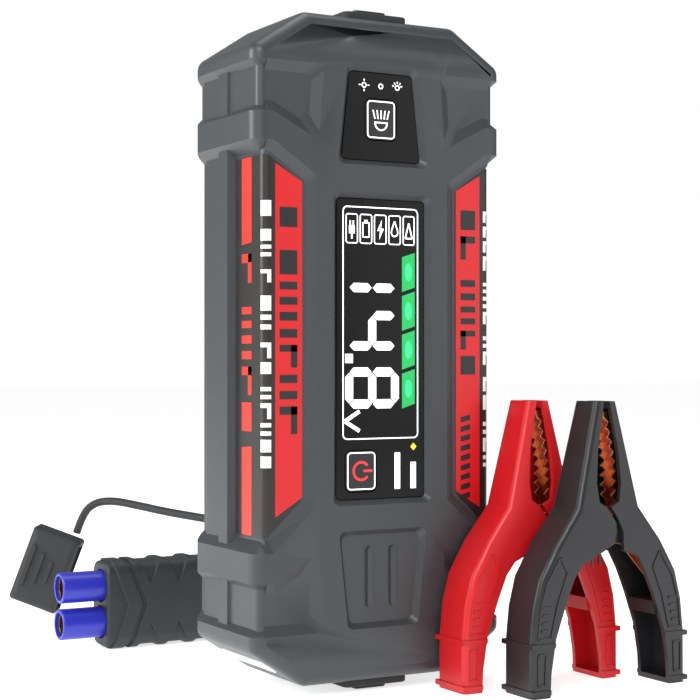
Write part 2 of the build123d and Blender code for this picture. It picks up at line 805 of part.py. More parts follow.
# ---------------------------------------------------------------- lead connector
CONN_X = -53.0  # front end of the connector's grip
CONN_LENGTH = 62.0
CONN_Y = 104.8
CONN_Z = 17.4
CONN_DEPTH = 16.5
CONN_HEIGHT = 33.0
GRIP_R = 4.5
PAD = 0.9  # raised grip pattern
BULLET_LENGTH = 17.0
BULLET_WALL = 1.3
CONTACT_WALL = BULLET_R - BULLET_WALL - CONTACT_R
CONN_FRONT = Plane(origin=(CONN_X, CONN_Y, CONN_Z), x_dir=(0, -1, 0), z_dir=(-1, 0, 0))
bullet_places = [(0, -BULLET_GAP / 2), (0, BULLET_GAP / 2)]
NOTCH_PITCH = 12.1
NOTCH_DEPTH = 9.5


def make_connector_grip():
    """Overmoulded grip of the lead connector, with its raised zigzag pattern."""
    half = CONN_HEIGHT / 2 + PAD
    arrow = 14.0
    band = [(2.0, half), (7.5, half), (arrow + 0.6, 0), (7.5, -half), (2.0, -half), (8.5, 0)]
    field = [(9.5, half)]
    apex = 17.6
    while apex + NOTCH_PITCH / 2 < CONN_LENGTH:
        field += [(apex - 4.5, half), (apex, half - NOTCH_DEPTH), (apex + 4.5, half)]
        apex += NOTCH_PITCH
    field.append((CONN_LENGTH - 2, half))
    lower = [(x, -z) for x, z in reversed(field)]
    side = Plane((CONN_X, CONN_Y, CONN_Z), x_dir=(1, 0, 0), z_dir=(0, -1, 0))
    with BuildPart() as pads:
        with BuildSketch(side.offset(-CONN_DEPTH / 2 - PAD)):
            for points in (band, field + lower + [(16.2, 0)]):
                with BuildLine():
                    Polyline(*points, close=True)
                make_face()
        extrude(amount=CONN_DEPTH + 2 * PAD)
        with BuildSketch(CONN_FRONT):
            RectangleRounded(CONN_DEPTH + 2 * PAD, CONN_HEIGHT + 2 * PAD, GRIP_R + PAD)
        extrude(amount=-CONN_LENGTH, mode=Mode.INTERSECT)
    with BuildPart() as grip:
        with BuildSketch(CONN_FRONT):
            RectangleRounded(CONN_DEPTH, CONN_HEIGHT, GRIP_R)
        extrude(amount=-CONN_LENGTH)
        fillet(grip.faces().sort_by(Axis.X)[0].edges(), 1.2)
        add(pads.part)
        with BuildSketch(CONN_FRONT):
            with Locations(*bullet_places):
                Circle(BULLET_R + 0.4)
        extrude(amount=-1.0, mode=Mode.SUBTRACT)
        with BuildSketch(CONN_FRONT):
            with Locations(*bullet_places):
                Circle(CONTACT_R + CONTACT_WALL)
        extrude(amount=-3.0, mode=Mode.SUBTRACT)
    return grip.part


def make_connector_shrouds():
    """Two coloured round shrouds; the lower one has flats that key the plug."""
    with BuildPart() as shrouds:
        with BuildSketch(CONN_FRONT.offset(-1.0)) as rings:
            with Locations(*bullet_places):
                Circle(BULLET_R)
        extrude(amount=BULLET_LENGTH + 1.0)
        chamfer(shrouds.edges().filter_by(GeomType.CIRCLE).group_by(Axis.X)[0], 0.4)
        with BuildSketch(CONN_FRONT):
            for x in (-1, 1):
                with Locations((x * BULLET_R, -BULLET_GAP / 2 - BULLET_R)):
                    Rectangle(4.6, 4.6, rotation=45)
        extrude(amount=BULLET_LENGTH + 1.0, mode=Mode.SUBTRACT)
        with BuildSketch(CONN_FRONT.offset(-1.0)):
            with Locations(*bullet_places):
                Circle(CONTACT_R + CONTACT_WALL)
        extrude(amount=BULLET_LENGTH + 1.0, mode=Mode.SUBTRACT)
    return shrouds.part


CONTACT_SHY = 1.5  # contacts end this far inside the shrouds
CONTACT_DEPTH = 15.0


def make_contacts():
    """Two brass contact sleeves inside the shrouds."""
    mouth = BULLET_LENGTH - CONTACT_SHY
    with BuildPart() as sleeves:
        with BuildSketch(CONN_FRONT.offset(-3.0)):
            with Locations(*bullet_places):
                Circle(CONTACT_R + CONTACT_WALL)
        extrude(amount=mouth + 3.0)
        with BuildSketch(CONN_FRONT.offset(mouth - CONTACT_DEPTH)):
            with Locations(*bullet_places):
                Circle(CONTACT_R)
        extrude(amount=CONTACT_DEPTH, mode=Mode.SUBTRACT)
    return sleeves.part


COLLAR_X = 6.0
COLLAR_WIDTH = 5.0
COLLAR_T = 1.4
STRAP_R = 1.7
COLLAR_TOP = CONN_Z + CONN_HEIGHT / 2 + PAD + COLLAR_T
LUG_TOP = COLLAR_TOP + 2.0


def make_strap_collar():
    """Rubber ring round the back of the grip, which the cap's strap is moulded to."""
    inside = PAD + 0.02
    with BuildPart() as collar:
        with BuildSketch(CONN_FRONT.offset(CONN_X - COLLAR_X - COLLAR_WIDTH / 2)) as band:
            outer = inside + COLLAR_T - 0.02
            RectangleRounded(CONN_DEPTH + 2 * outer, CONN_HEIGHT + 2 * outer, GRIP_R + outer)
            inner_r = GRIP_R + inside
            RectangleRounded(
                CONN_DEPTH + 2 * inside, CONN_HEIGHT + 2 * inside, inner_r, mode=Mode.SUBTRACT
            )
        extrude(amount=COLLAR_WIDTH)
        add(cylinder_z(COLLAR_X, CONN_Y, STRAP_R + 0.7, COLLAR_TOP - 1.0, LUG_TOP))
    below = box_between((-BIG, -BIG, -BIG), (BIG, BIG, 0))
    return collar.part - below


# The cap stands on the surface on one corner, turned back on its strap.
CAP_LONG = 34.0
CAP_DEEP = 22.0
CAP_THICK = 17.0
CAP_WALL = 2.2
CAP_CENTRE = (-42.0, 199.5, 20.2)
CAP_MOUTH_DIR = (0.817, -0.461, -0.347)
CAP_FACE_DIR = (-0.4915, -0.871, 0.0)
CAP_PLANE = Plane(origin=CAP_CENTRE, x_dir=CAP_MOUTH_DIR, z_dir=CAP_FACE_DIR)


def make_plug_cap():
    """Flat rubber sleeve that closes over the two shrouds, with three ribs on each side."""
    with BuildPart() as cap:
        with BuildSketch(CAP_PLANE.offset(-CAP_THICK / 2)):
            RectangleRounded(CAP_DEEP, CAP_LONG, 1.5)
        extrude(amount=CAP_THICK)
        long_edges = cap.edges().filter_by(lambda e: abs(e.length - CAP_DEEP + 3.0) < 0.01)
        fillet(long_edges, 3.5)
        for level, away in ((CAP_THICK / 2, 1), (-CAP_THICK / 2, -1)):
            with BuildSketch(CAP_PLANE.offset(level)):
                for x, length in ((-7.6, 19.0), (-2.9, 14.5), (1.8, 10.0)):
                    with Locations((x, 0)):
                        SlotOverall(length, 2.0, rotation=90)
            extrude(amount=away * 0.9)
        with BuildSketch(CAP_PLANE.offset(-CAP_THICK / 2 + CAP_WALL)):
            with Locations((CAP_WALL, 0)):
                Rectangle(CAP_DEEP, CAP_LONG - 2 * CAP_WALL)
        extrude(amount=CAP_THICK - 2 * CAP_WALL, mode=Mode.SUBTRACT)
    return cap.part


# Route of the strap's centre line, from the collar's lug over to the cap.
strap_route = [
    (COLLAR_X, CONN_Y, LUG_TOP),
    (5.2, 105.4, 43.5),
    (2.0, 112.0, 46.6),
    (-3.5, 124.0, 47.6),
    (-9.5, 141.0, 48.6),
    (-16.0, 158.0, 50.4),
    (-21.5, 172.5, 51.6),
    (-25.5, 184.0, 50.0),
    (-28.4, 191.3, 44.5),
    (-30.6, 193.0, 36.0),
]


def strap_radii():
    """Bend radius at each inner point of the strap's route, as large as its two runs allow."""
    points = [Vector(*p) for p in strap_route]
    radii = []
    for before, here, after in zip(points, points[1:], points[2:]):
        run_in = here - before
        run_out = after - here
        turn = run_in.get_angle(run_out)
        shorter = min(run_in.length, run_out.length)
        radii.append(0.45 * shorter / tan(radians(turn / 2)))
    return radii


def make_cap_strap():
    """Rubber strap between the collar and the cap."""
    radii = strap_radii()
    print("strap bend radii, mm:", [round(r, 1) for r in radii])
    with BuildPart() as strap:
        with BuildLine() as route:
            FilletPolyline(*strap_route, radius=radii)
        start = route.line @ 0
        with BuildSketch(Plane(origin=start, z_dir=route.line % 0)):
            Circle(STRAP_R)
        sweep()
    print("strap length, mm:", round(route.wires()[0].length, 1))
    return strap.part


# ---------------------------------------------------------------- battery clamps
CLAMP_HALF = 8.5  # half thickness of the handles
CLAMP_TIP_HALF = 6.2
CLAMP_HEIGHT = 99.0
PIVOT_Z = 54.0
EAR_R = 5.0
SKIN = 1.7
PIN_R = 2.0
PLATE_T = 0.8
PIN_REACH = 7.4  # from the clamp's plane; the pin ends inside the left arm's cheeks
LEFT_PLATE = 4.2  # outer side of the left jaw's plates
RIGHT_PLATE = 3.2
clamp_centres = {"red": (54.0, -34.0), "black": (69.0, -52.5)}

arm_outer = [
    (4.6, 99.0),
    (13.4, 62.5),
    (22.5, 50.8),
    (29.2, 39.5),
    (31.8, 29.5),
    (33.0, 18.0),
    (33.0, 0.0),
]
handle_inner = [
    (25.6, 0.0),
    (25.2, 8.0),
    (23.2, 19.5),
    (19.0, 31.0),
    (15.4, 39.4),
]
jaw_back = [
    (5.2, 71.0),
    (4.4, 82.0),
    (1.2, 99.0),
]
left_nose = [
    (12.0, 43.6),
    (5.0, 46.8),
    (-1.5, 50.0),
    (-2.8, 54.0),
    (-2.6, 57.5),
    (1.1, 62.7),
    (4.2, 64.5),
]
right_notch = [
    (12.0, 45.4),
    (5.7, 47.6),
    (5.7, 54.0),
    (3.7, 58.5),
    (0.7, 62.7),
    (4.2, 64.5),
]


def clamp_plane(colour):
    """Plane of a clamp: x across, y up, z towards the viewer, with its origin under the pivot."""
    x, y = clamp_centres[colour]
    return Plane(origin=(x, y, 0), x_dir=(1, 0, 0), z_dir=(0, -1, 0))


def flip(points, side):
    """Points of one arm; side is -1 for the left arm."""
    return [(side * x, z) for x, z in points]


def side_wedge(plane, half_low, half_high):
    """Clamp's outline seen along the jaws: full width in the handles, narrower at the tip."""
    origin = plane.origin
    view = Plane(origin=(origin.X - 60, origin.Y, 0), x_dir=(0, 1, 0), z_dir=(1, 0, 0))
    with BuildPart() as wedge:
        with BuildSketch(view):
            with BuildLine():
                Polyline(
                    (-half_low, -1),
                    (half_low, -1),
                    (half_low, 46),
                    (half_high, CLAMP_HEIGHT + 1),
                    (-half_high, CLAMP_HEIGHT + 1),
                    (-half_low, 46),
                    close=True,
                )
            make_face()
        extrude(amount=120)
    return wedge.part


def slab(plane, points, half):
    """Flat solid of an outline, centred on the clamp's plane."""
    with BuildPart() as flat:
        with BuildSketch(plane.offset(-half)):
            with BuildLine():
                Polyline(*points, close=True)
            make_face()
        extrude(amount=2 * half)
    return flat.part


def disc(plane, x, z, radius, low, high):
    """Cylinder across the clamp, between two distances from its plane."""
    with BuildPart() as round_piece:
        with BuildSketch(plane.offset(low)):
            with Locations((x, z)):
                Circle(radius)
        extrude(amount=high - low)
    return round_piece.part


COLLAR_BANDS = (1.0, 16.6)  # heights of the raised bands round a handle
BAND_HEIGHT = 1.6
BAND_PROUD = 0.45


def edge_x(points, z):
    """Where an outline that only rises or only falls crosses a height."""
    for a, b in zip(points, points[1:]):
        if min(a[1], b[1]) <= z <= max(a[1], b[1]):
            return a[0] + (b[0] - a[0]) * (z - a[1]) / (b[1] - a[1])
    return points[-1][0]


def collar(plane, side, z):
    """Raised band round a handle, before its inside is cut away."""
    top = z + BAND_HEIGHT
    band = [
        (edge_x(handle_inner, z), z),
        (edge_x(arm_outer, z) + BAND_PROUD, z),
        (edge_x(arm_outer, top) + BAND_PROUD, top),
        (edge_x(handle_inner, top), top),
    ]
    return slab(plane, flip(band, side), CLAMP_HALF + BAND_PROUD)


def make_clamp_arm(colour, side):
    """Moulded cover of one half of a clamp: handle, shoulder and jaw back, open on its inner side."""
    plane = clamp_plane(colour)
    inner = handle_inner + (left_nose if side < 0 else right_notch) + jaw_back
    inner_line = [(x - 8, z) for x, z in inner[1:-1]]
    inside = [(x - SKIN, z) for x, z in arm_outer[1:-1]]
    hollow = flip(
        [(3.4, 96.6)] + inside + [(33.0 - SKIN, 1.8), (17.0, 1.8)] + inner_line + [(-6.4, 96.6)], side
    )
    with BuildPart() as arm:
        add(slab(plane, flip(arm_outer + inner, side), CLAMP_HALF))
        add(side_wedge(plane, CLAMP_HALF, CLAMP_TIP_HALF), mode=Mode.INTERSECT)
        fillet(arm.edges().filter_by(lambda e: is_back_edge(e, plane, side)), 2.2)
        for z in COLLAR_BANDS:
            add(collar(plane, side, z))
        hole = slab(plane, hollow, CLAMP_HALF) & side_wedge(plane, CLAMP_HALF - SKIN, CLAMP_TIP_HALF - SKIN)
        add(hole, mode=Mode.SUBTRACT)
        if side > 0:
            add(right_ears(plane))
        bar = flip([(20.0, 24.5), (31.0, 24.5), (31.0, 29.0), (19.6, 29.0)], side)
        add(slab(plane, bar, CLAMP_HALF - SKIN))
        reach = PIN_REACH + 0.1
        add(disc(plane, 0, PIVOT_Z, PIN_R + 0.05, -reach, reach), mode=Mode.SUBTRACT)
    return arm.part


def right_ears(plane):
    """Two ears of the right arm that turn between the left arm's cheeks."""
    outer_ear = CLAMP_HALF - SKIN - 0.8
    low = PIVOT_Z - EAR_R + 1.5
    high = PIVOT_Z + EAR_R - 1.5
    with BuildPart() as ears:
        for near, far in ((outer_ear - SKIN, outer_ear), (-outer_ear, SKIN - outer_ear)):
            add(disc(plane, 0, PIVOT_Z, EAR_R, near, far))
        for start, outside in ((2.0, outer_ear), (EAR_R + 1.0, outer_ear + SKIN)):
            bridge = [(start, low), (11.0, low), (11.0, high), (start, high)]
            add(slab(plane, bridge, outside) - slab(plane, bridge, outer_ear - SKIN))
    return ears.part


def is_back_edge(edge, plane, side):
    """True for the long outer edges of an arm, which are rounded."""
    middle = edge.center() - plane.origin
    outward = side * middle.X
    slim = abs(middle.Y) > CLAMP_TIP_HALF - 1
    for a, b in zip(arm_outer, arm_outer[1:]):
        t = (a[1] - middle.Z) / (a[1] - b[1])
        if 0 < t < 1 and abs(a[0] + t * (b[0] - a[0]) - outward) < 0.2 and slim:
            return edge.length > 4
    return False


jaw_outer = [
    (2.6, 95.6),
    (10.6, 62.5),
    (18.5, 51.0),
    (25.6, 39.0),
    (28.0, 31.0),
]
jaw_inner = [
    (26.4, 31.0),
    (23.4, 37.0),
    (13.0, 48.2),
    (3.0, 50.4),
    (3.0, 57.6),
    (6.6, 62.0),
    (6.2, 64.4),
]
TOOTH_PITCH = 3.4
TOOTH_DEPTH = 1.9


def tooth_line():
    """Toothed inner edge of a jaw plate, from the throat up to the tip."""
    points = []
    z = jaw_inner[-1][1]
    while z + TOOTH_PITCH < jaw_outer[0][1]:
        reach = 4.2 if z < 77.0 else 4.2 - (z - 77.0) * 0.22
        points.append((reach + TOOTH_DEPTH, z + 0.2))
        points.append((reach, z + TOOTH_PITCH / 2))
        z += TOOTH_PITCH
    points.append((0.5, z))
    points.append((0.5, jaw_outer[0][1]))
    return points


def make_jaw(colour, side):
    """Copper jaw of one arm: two toothed side plates joined along the back."""
    plane = clamp_plane(colour)
    half = LEFT_PLATE if side < 0 else RIGHT_PLATE
    outline = flip(jaw_outer + jaw_inner + tooth_line(), side)
    inside = [(2.2, 96.0)] + [(x - 1.2, z) for x, z in jaw_outer[1:]] + [(26.8, 29.0)]
    hollow = flip(inside + [(-2.0, 29.0), (-2.0, 96.0)], side)
    with BuildPart() as jaw:
        add(slab(plane, outline, half))
        for low, high in ((half - PLATE_T, half), (-half, PLATE_T - half)):
            add(disc(plane, 0, PIVOT_Z, EAR_R - 0.3, low, high))
        add(slab(plane, hollow, half - PLATE_T), mode=Mode.SUBTRACT)
        add(disc(plane, 0, PIVOT_Z, PIN_R + 0.05, -BIG, BIG), mode=Mode.SUBTRACT)
    return jaw.part


def make_pivot_pin(colour):
    """Pin through both arms, hidden under the left arm's cheeks."""
    plane = clamp_plane(colour)
    with BuildPart() as pin:
        add(disc(plane, 0, PIVOT_Z, PIN_R, -PIN_REACH, PIN_REACH))
    return pin.part


WIRE_R = 0.5
COIL_R = 3.1
COIL_PITCH = 1.04
COIL_TURNS = 3.5
SPRING_LEG = 12.0


def make_spring(colour):
    """Torsion spring round the pivot pin, with a leg down towards each handle."""
    x, y = clamp_centres[colour]
    height = COIL_PITCH * COIL_TURNS
    with BuildPart() as spring:
        with BuildLine() as coil:
            Helix(COIL_PITCH, height, COIL_R)
        with BuildSketch(Plane(origin=coil.line @ 0, z_dir=coil.line % 0)):
            Circle(WIRE_R)
        sweep(is_frenet=True)
        for end in ((COIL_R, 0, 0), (-COIL_R, 0, height)):
            with Locations(end):
                Sphere(WIRE_R)
            with BuildSketch(Plane(origin=end, z_dir=(0, -1, 0))):
                Circle(WIRE_R)
            extrude(amount=SPRING_LEG)
    place = Plane(origin=(x, y + height / 2, PIVOT_Z), x_dir=(1, 0, 0), z_dir=(0, -1, 0))
    return spring.part.moved(Location(place))


# ---------------------------------------------------------------- the whole object
def save_pack():
    """Everything that belongs to the pack itself."""
    half = front_half()
    cuts = common_cuts()
    save(make_front_shell(half, cuts), "front_shell")
    save(make_back_shell(back_half(), cuts), "back_shell")
    save(gasket_ring(), "shell_gasket")
    save(make_screws(), "shell_screws")
    save(make_panel(display_recess, [(POWER_X, POWER_Z)]), "display_panel")
    save(make_panel(lamp_recess, [(0, LAMP_KEY_Z)]), "lamp_panel")
    save(make_key(POWER_X, POWER_Z), "power_button")
    save(make_key(0, LAMP_KEY_Z), "lamp_button")
    save(make_switches(), "tact_switches")
    save(make_label(-1), "left_label")
    save(make_label(1), "right_label")
    save(make_lens(), "lamp_lens")
    save(make_lamp_board(), "lamp_board")
    save(make_lamp_leds(), "lamp_leds")
    save(make_display_board(), "display_board")
    save(make_display_module(), "display_module")


def save_inside():
    """Cells, boards, socket and ports."""
    for index in range(4):
        save(make_cell(index), f"cell_{index + 1}")
    save(make_cell_tabs(), "cell_tabs")
    save(make_link_board(), "link_board")
    save(make_cell_tray(), "cell_tray")
    save(make_foam(CELL_FRONT - FOAM_T, CELL_FRONT - 0.1), "front_foam")
    save(make_foam(PACK_BACK, PACK_BACK + FOAM_T), "back_foam")
    save(make_main_board(), "main_board")
    save(make_relay(), "relay")
    save(make_capacitors(), "capacitors")
    save(make_transistors(), "transistors")
    save(make_jump_socket(), "jump_socket")
    save(make_socket_pins(), "socket_pins")
    save(make_busbar(-BULLET_GAP / 2), "positive_busbar")
    save(make_busbar(BULLET_GAP / 2), "negative_busbar")
    save(make_charge_board(), "charge_board")
    save(make_usb_c_port(), "usb_c_port")
    save(make_usb_a_port(), "usb_a_port")
    save(make_dc_port(), "dc_port")
    top = make_top_cover()
    save(top, "top_cover")
    save(make_bottom_cover(top), "bottom_cover")


def save_connector():
    """Lead connector, its cap and strap."""
    save(make_connector_grip(), "connector_grip")
    save(make_connector_shrouds(), "connector_shrouds")
    save(make_contacts(), "connector_contacts")
    save(make_strap_collar(), "strap_collar")
    save(make_cap_strap(), "cap_strap")
    save(make_plug_cap(), "plug_cap")


def save_clamp(colour):
    """One battery clamp."""
    save(make_clamp_arm(colour, -1), f"{colour}_clamp_arm")
    save(make_clamp_arm(colour, 1), f"{colour}_clamp_lever")
    save(make_jaw(colour, -1), f"{colour}_arm_jaw")
    save(make_jaw(colour, 1), f"{colour}_lever_jaw")
    save(make_pivot_pin(colour), f"{colour}_pivot_pin")
    save(make_spring(colour), f"{colour}_spring")


if __name__ == "__main__":
    save_pack()
    save_inside()
    save_connector()
    for colour in clamp_centres:
        save_clamp(colour)
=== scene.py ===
"""Dresses the jump starter pack: studio, shells, printed films, display, connector, cap and clamps."""

import logging
import math
from dataclasses import dataclass, field
from enum import Enum

import bmesh
import bpy
import numpy as np
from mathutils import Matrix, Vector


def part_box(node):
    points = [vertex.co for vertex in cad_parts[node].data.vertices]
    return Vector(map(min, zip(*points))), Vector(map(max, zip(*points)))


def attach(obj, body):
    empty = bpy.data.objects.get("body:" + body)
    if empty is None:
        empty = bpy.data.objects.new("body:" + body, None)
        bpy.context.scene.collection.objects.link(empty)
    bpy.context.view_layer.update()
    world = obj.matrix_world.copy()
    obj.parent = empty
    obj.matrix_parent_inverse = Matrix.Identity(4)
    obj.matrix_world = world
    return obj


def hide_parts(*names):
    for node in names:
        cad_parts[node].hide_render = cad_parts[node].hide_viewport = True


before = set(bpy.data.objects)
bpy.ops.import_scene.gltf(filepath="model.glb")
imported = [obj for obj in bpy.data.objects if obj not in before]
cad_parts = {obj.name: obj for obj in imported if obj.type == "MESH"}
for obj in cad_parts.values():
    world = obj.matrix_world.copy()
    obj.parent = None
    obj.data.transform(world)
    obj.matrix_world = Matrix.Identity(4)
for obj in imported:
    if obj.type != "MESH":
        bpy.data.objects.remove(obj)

log = logging.getLogger("jump_starter")
MM = 0.001
RING_POINTS = 40
ARC_POINTS = 36
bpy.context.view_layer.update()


# ---------------------------------------------------------------- shader helpers
def hex_linear(colour: str) -> tuple[float, float, float, float]:
    """Turn an sRGB hex colour into linear red, green, blue and alpha.

    Args:
        colour: A colour such as "#4a4e50".

    Returns:
        Four linear values, with alpha 1.
    """
    channels = []
    for start in (1, 3, 5):
        value = int(colour[start : start + 2], 16) / 255
        channels.append(value / 12.92 if value <= 0.04045 else ((value + 0.055) / 1.055) ** 2.4)
    return (*channels, 1.0)


def add_node(tree: bpy.types.NodeTree, kind: str, settings: dict, links: dict) -> bpy.types.Node:
    """Add a node with its settings and links.

    Args:
        tree: The material's node tree.
        kind: The node's type name.
        settings: Attribute names, or input sockets by name or index, with their values.
        links: Input sockets by name or index, with the output sockets that feed them.

    Returns:
        The new node.
    """
    made = tree.nodes.new(kind)
    for key, value in settings.items():
        if isinstance(key, str) and hasattr(made, key):
            setattr(made, key, value)
        else:
            made.inputs[key].default_value = value
    for key, source in links.items():
        tree.links.new(source, made.inputs[key])
    return made


@dataclass(frozen=True)
class Finish:
    """A surface finish: colours, gloss and the size of its moulded or worn texture."""

    name: str
    colour: str
    second: str
    roughness: float = 0.5
    roughness_swing: float = 0.08
    metallic: float = 0.0
    ior: float = 1.5
    grain_mm: float = 0.6
    grain_depth: float = 0.15
    blotch_mm: float = 14.0
    coat: float = 0.0
    glow: float = 0.0

    def material(self) -> bpy.types.Material:
        """Build, or fetch, the node material of this finish."""
        known = bpy.data.materials.get(self.name)
        if known:
            return known
        made = bpy.data.materials.new(self.name)
        made.use_nodes = True
        tree = made.node_tree
        tree.nodes.clear()
        place = add_node(tree, "ShaderNodeTexCoord", {}, {})
        where = place.outputs["Object"]
        blotch = add_node(
            tree,
            "ShaderNodeTexNoise",
            {"Scale": 1 / (self.blotch_mm * MM), "Detail": 3.0, "Roughness": 0.6},
            {"Vector": where},
        )
        tint = add_node(
            tree,
            "ShaderNodeMix",
            {"data_type": "RGBA", 6: hex_linear(self.colour), 7: hex_linear(self.second)},
            {0: blotch.outputs["Fac"]},
        )
        colour = tint.outputs[2]
        grain = add_node(
            tree,
            "ShaderNodeTexNoise",
            {"Scale": 1 / (self.grain_mm * MM), "Detail": 2.0, "Roughness": 0.55},
            {"Vector": where},
        )
        gloss = add_node(
            tree,
            "ShaderNodeMapRange",
            {3: self.roughness - self.roughness_swing, 4: self.roughness + self.roughness_swing},
            {0: blotch.outputs["Fac"]},
        )
        relief = add_node(
            tree,
            "ShaderNodeBump",
            {"Strength": self.grain_depth, "Distance": 0.00012},
            {"Height": grain.outputs["Fac"]},
        )
        settings = {"Metallic": self.metallic, "Coat Weight": self.coat, "Coat Roughness": 0.08}
        if not self.metallic:
            settings["IOR"] = self.ior
        if self.glow:
            settings["Emission Color"] = hex_linear(self.colour)
            settings["Emission Strength"] = self.glow
        shader = add_node(
            tree,
            "ShaderNodeBsdfPrincipled",
            settings,
            {
                "Base Color": colour,
                "Roughness": gloss.outputs[0],
                "Normal": relief.outputs["Normal"],
            },
        )
        add_node(tree, "ShaderNodeOutputMaterial", {}, {"Surface": shader.outputs["BSDF"]})
        made.diffuse_color = hex_linear(self.colour)
        return made


# Moulded ABS with a fine spark-eroded texture: an even grey that scatters light softly.
BODY_ABS = Finish("body_moulded_abs", "#393d40", "#35393c", 0.4, 0.05, grain_mm=0.45, grain_depth=0.22)
# Hard-coated acrylic over black: deep and mirror-like, with hardly any texture.
DISPLAY_ACRYLIC = Finish(
    "display_black_acrylic", "#050506", "#09090a",
    0.14, 0.03, ior=1.3, grain_depth=0.01,
)
# Printed polycarbonate film: smooth warm black with a low sheen.
FILM_BLACK = Finish("label_printed_film", "#1b1a19", "#211f1d", 0.38, 0.04, grain_mm=0.3, grain_depth=0.05)
FILM_RED = Finish("label_red_ink", "#c80d16", "#d01219", 0.36, 0.04, grain_mm=0.3, grain_depth=0.05)
FILM_ORANGE = Finish(
    "label_bright_red_ink", "#dc2a1c", "#e43222",
    0.36, 0.04, grain_mm=0.3, grain_depth=0.05,
)
FILM_WHITE = Finish("label_white_ink", "#e6e4df", "#f2f0ec", 0.4, 0.04, grain_mm=0.3, grain_depth=0.05)
FILM_INK = Finish("label_black_ink", "#181617", "#1d1b1b", 0.36, 0.04, grain_mm=0.3, grain_depth=0.05)
# Backlit symbols under the acrylic: even light of one colour.
LIGHT_WHITE = Finish("display_white_light", "#ffffff", "#f6f8ff", 0.4, 0.02, glow=1.0, grain_depth=0.0)
LIGHT_GREEN = Finish("display_green_light", "#0fa04c", "#14b058", 0.4, 0.02, glow=0.5, grain_depth=0.0)
LIGHT_GREEN_HOT = Finish(
    "display_green_emitter", "#2ef07c", "#28e872",
    0.4, 0.02, glow=0.9, grain_depth=0.0,
)
LIGHT_YELLOW = Finish("display_yellow_light", "#f0e020", "#f6ea3a", 0.4, 0.02, glow=0.8, grain_depth=0.0)
LIGHT_RED = Finish("display_red_light", "#f02430", "#fa2e38", 0.4, 0.02, glow=0.7, grain_depth=0.0)
# Key tops: soft-touch painted plastic, nearly black.
KEY_PAINT = Finish("key_soft_paint", "#19191b", "#202022", 0.42, 0.05, grain_depth=0.08)
# EPDM rubber from a mould: dull black with a faint bloom.
RUBBER = Finish("moulded_epdm_rubber", "#1e2022", "#292b2d", 0.62, 0.07, grain_mm=0.5, grain_depth=0.3)
GRIP_RUBBER = Finish(
    "connector_pvc_overmould", "#222426", "#2c2e31",
    0.52, 0.06, grain_mm=0.5, grain_depth=0.25,
)
# Glass-filled nylon of the plug: saturated blue with a soft shine.
PLUG_BLUE = Finish("plug_blue_nylon", "#252ca8", "#2f36b8", 0.33, 0.05, grain_mm=0.5, grain_depth=0.12)
# Turned brass: warm, with a slightly uneven tarnish.
BRASS = Finish("turned_brass", "#c9a35c", "#b48a44", 0.28, 0.08, 1.0, grain_mm=0.4, grain_depth=0.1)
# Pressed copper-plated steel of the jaws.
COPPER = Finish(
    "pressed_copper_plate", "#e09a72", "#cc8058",
    0.3, 0.08, 1.0, grain_mm=0.7, grain_depth=0.25,
)
STEEL = Finish("nickel_plated_steel", "#9a9c9e", "#84868a", 0.3, 0.08, 1.0, grain_mm=0.4, grain_depth=0.12)
DARK_STEEL = Finish(
    "blackened_steel", "#55575a", "#3f4144",
    0.36, 0.08, 1.0, grain_mm=0.4, grain_depth=0.15,
)
# Injection-moulded polypropylene of the clamps.
CLAMP_RED = Finish(
    "clamp_red_polypropylene", "#c8141c", "#d21c22",
    0.36, 0.05, grain_mm=0.5, grain_depth=0.14,
)
CLAMP_BLACK = Finish(
    "clamp_black_polypropylene", "#1c1d1f", "#242527",
    0.36, 0.05, grain_mm=0.5, grain_depth=0.14,
)
# Ribbed polycarbonate lamp lens: pale grey, glossy.
LENS = Finish("lamp_ribbed_polycarbonate", "#c3c8cc", "#dfe3e6", 0.16, 0.04, coat=0.4, grain_depth=0.05)
LED_PHOSPHOR = Finish("led_phosphor", "#f3ecb8", "#efe6a2", 0.4, 0.05, grain_depth=0.1)
BOARD = Finish("solder_masked_fibreglass", "#1c5534", "#246240", 0.34, 0.06, grain_mm=0.8, grain_depth=0.15)
POUCH = Finish("aluminium_pouch_foil", "#b9bcbf", "#a9adb1", 0.3, 0.08, 1.0, grain_mm=1.2, grain_depth=0.3)
NICKEL = Finish("nickel_strip", "#b4b2ac", "#a3a19b", 0.3, 0.08, 1.0, grain_depth=0.15)
FOAM = Finish("closed_cell_foam", "#2b2b2d", "#363638", 0.85, 0.06, grain_mm=0.9, grain_depth=0.8)
TRAY = Finish("tray_natural_abs", "#c8c4b8", "#bdb9ac", 0.5, 0.05, grain_depth=0.15)
EPOXY = Finish("black_epoxy_moulding", "#1a1a1c", "#232325", 0.42, 0.05, grain_depth=0.2)
CAN = Finish("drawn_aluminium_can", "#8f9297", "#7c8085", 0.3, 0.06, 1.0, grain_depth=0.12)
BAR_COPPER = Finish("bar_copper", "#b56a3c", "#a35a30", 0.32, 0.08, 1.0, grain_depth=0.15)
LCD = Finish("display_block_glass", "#1c1a19", "#242120", 0.2, 0.04, grain_depth=0.02)


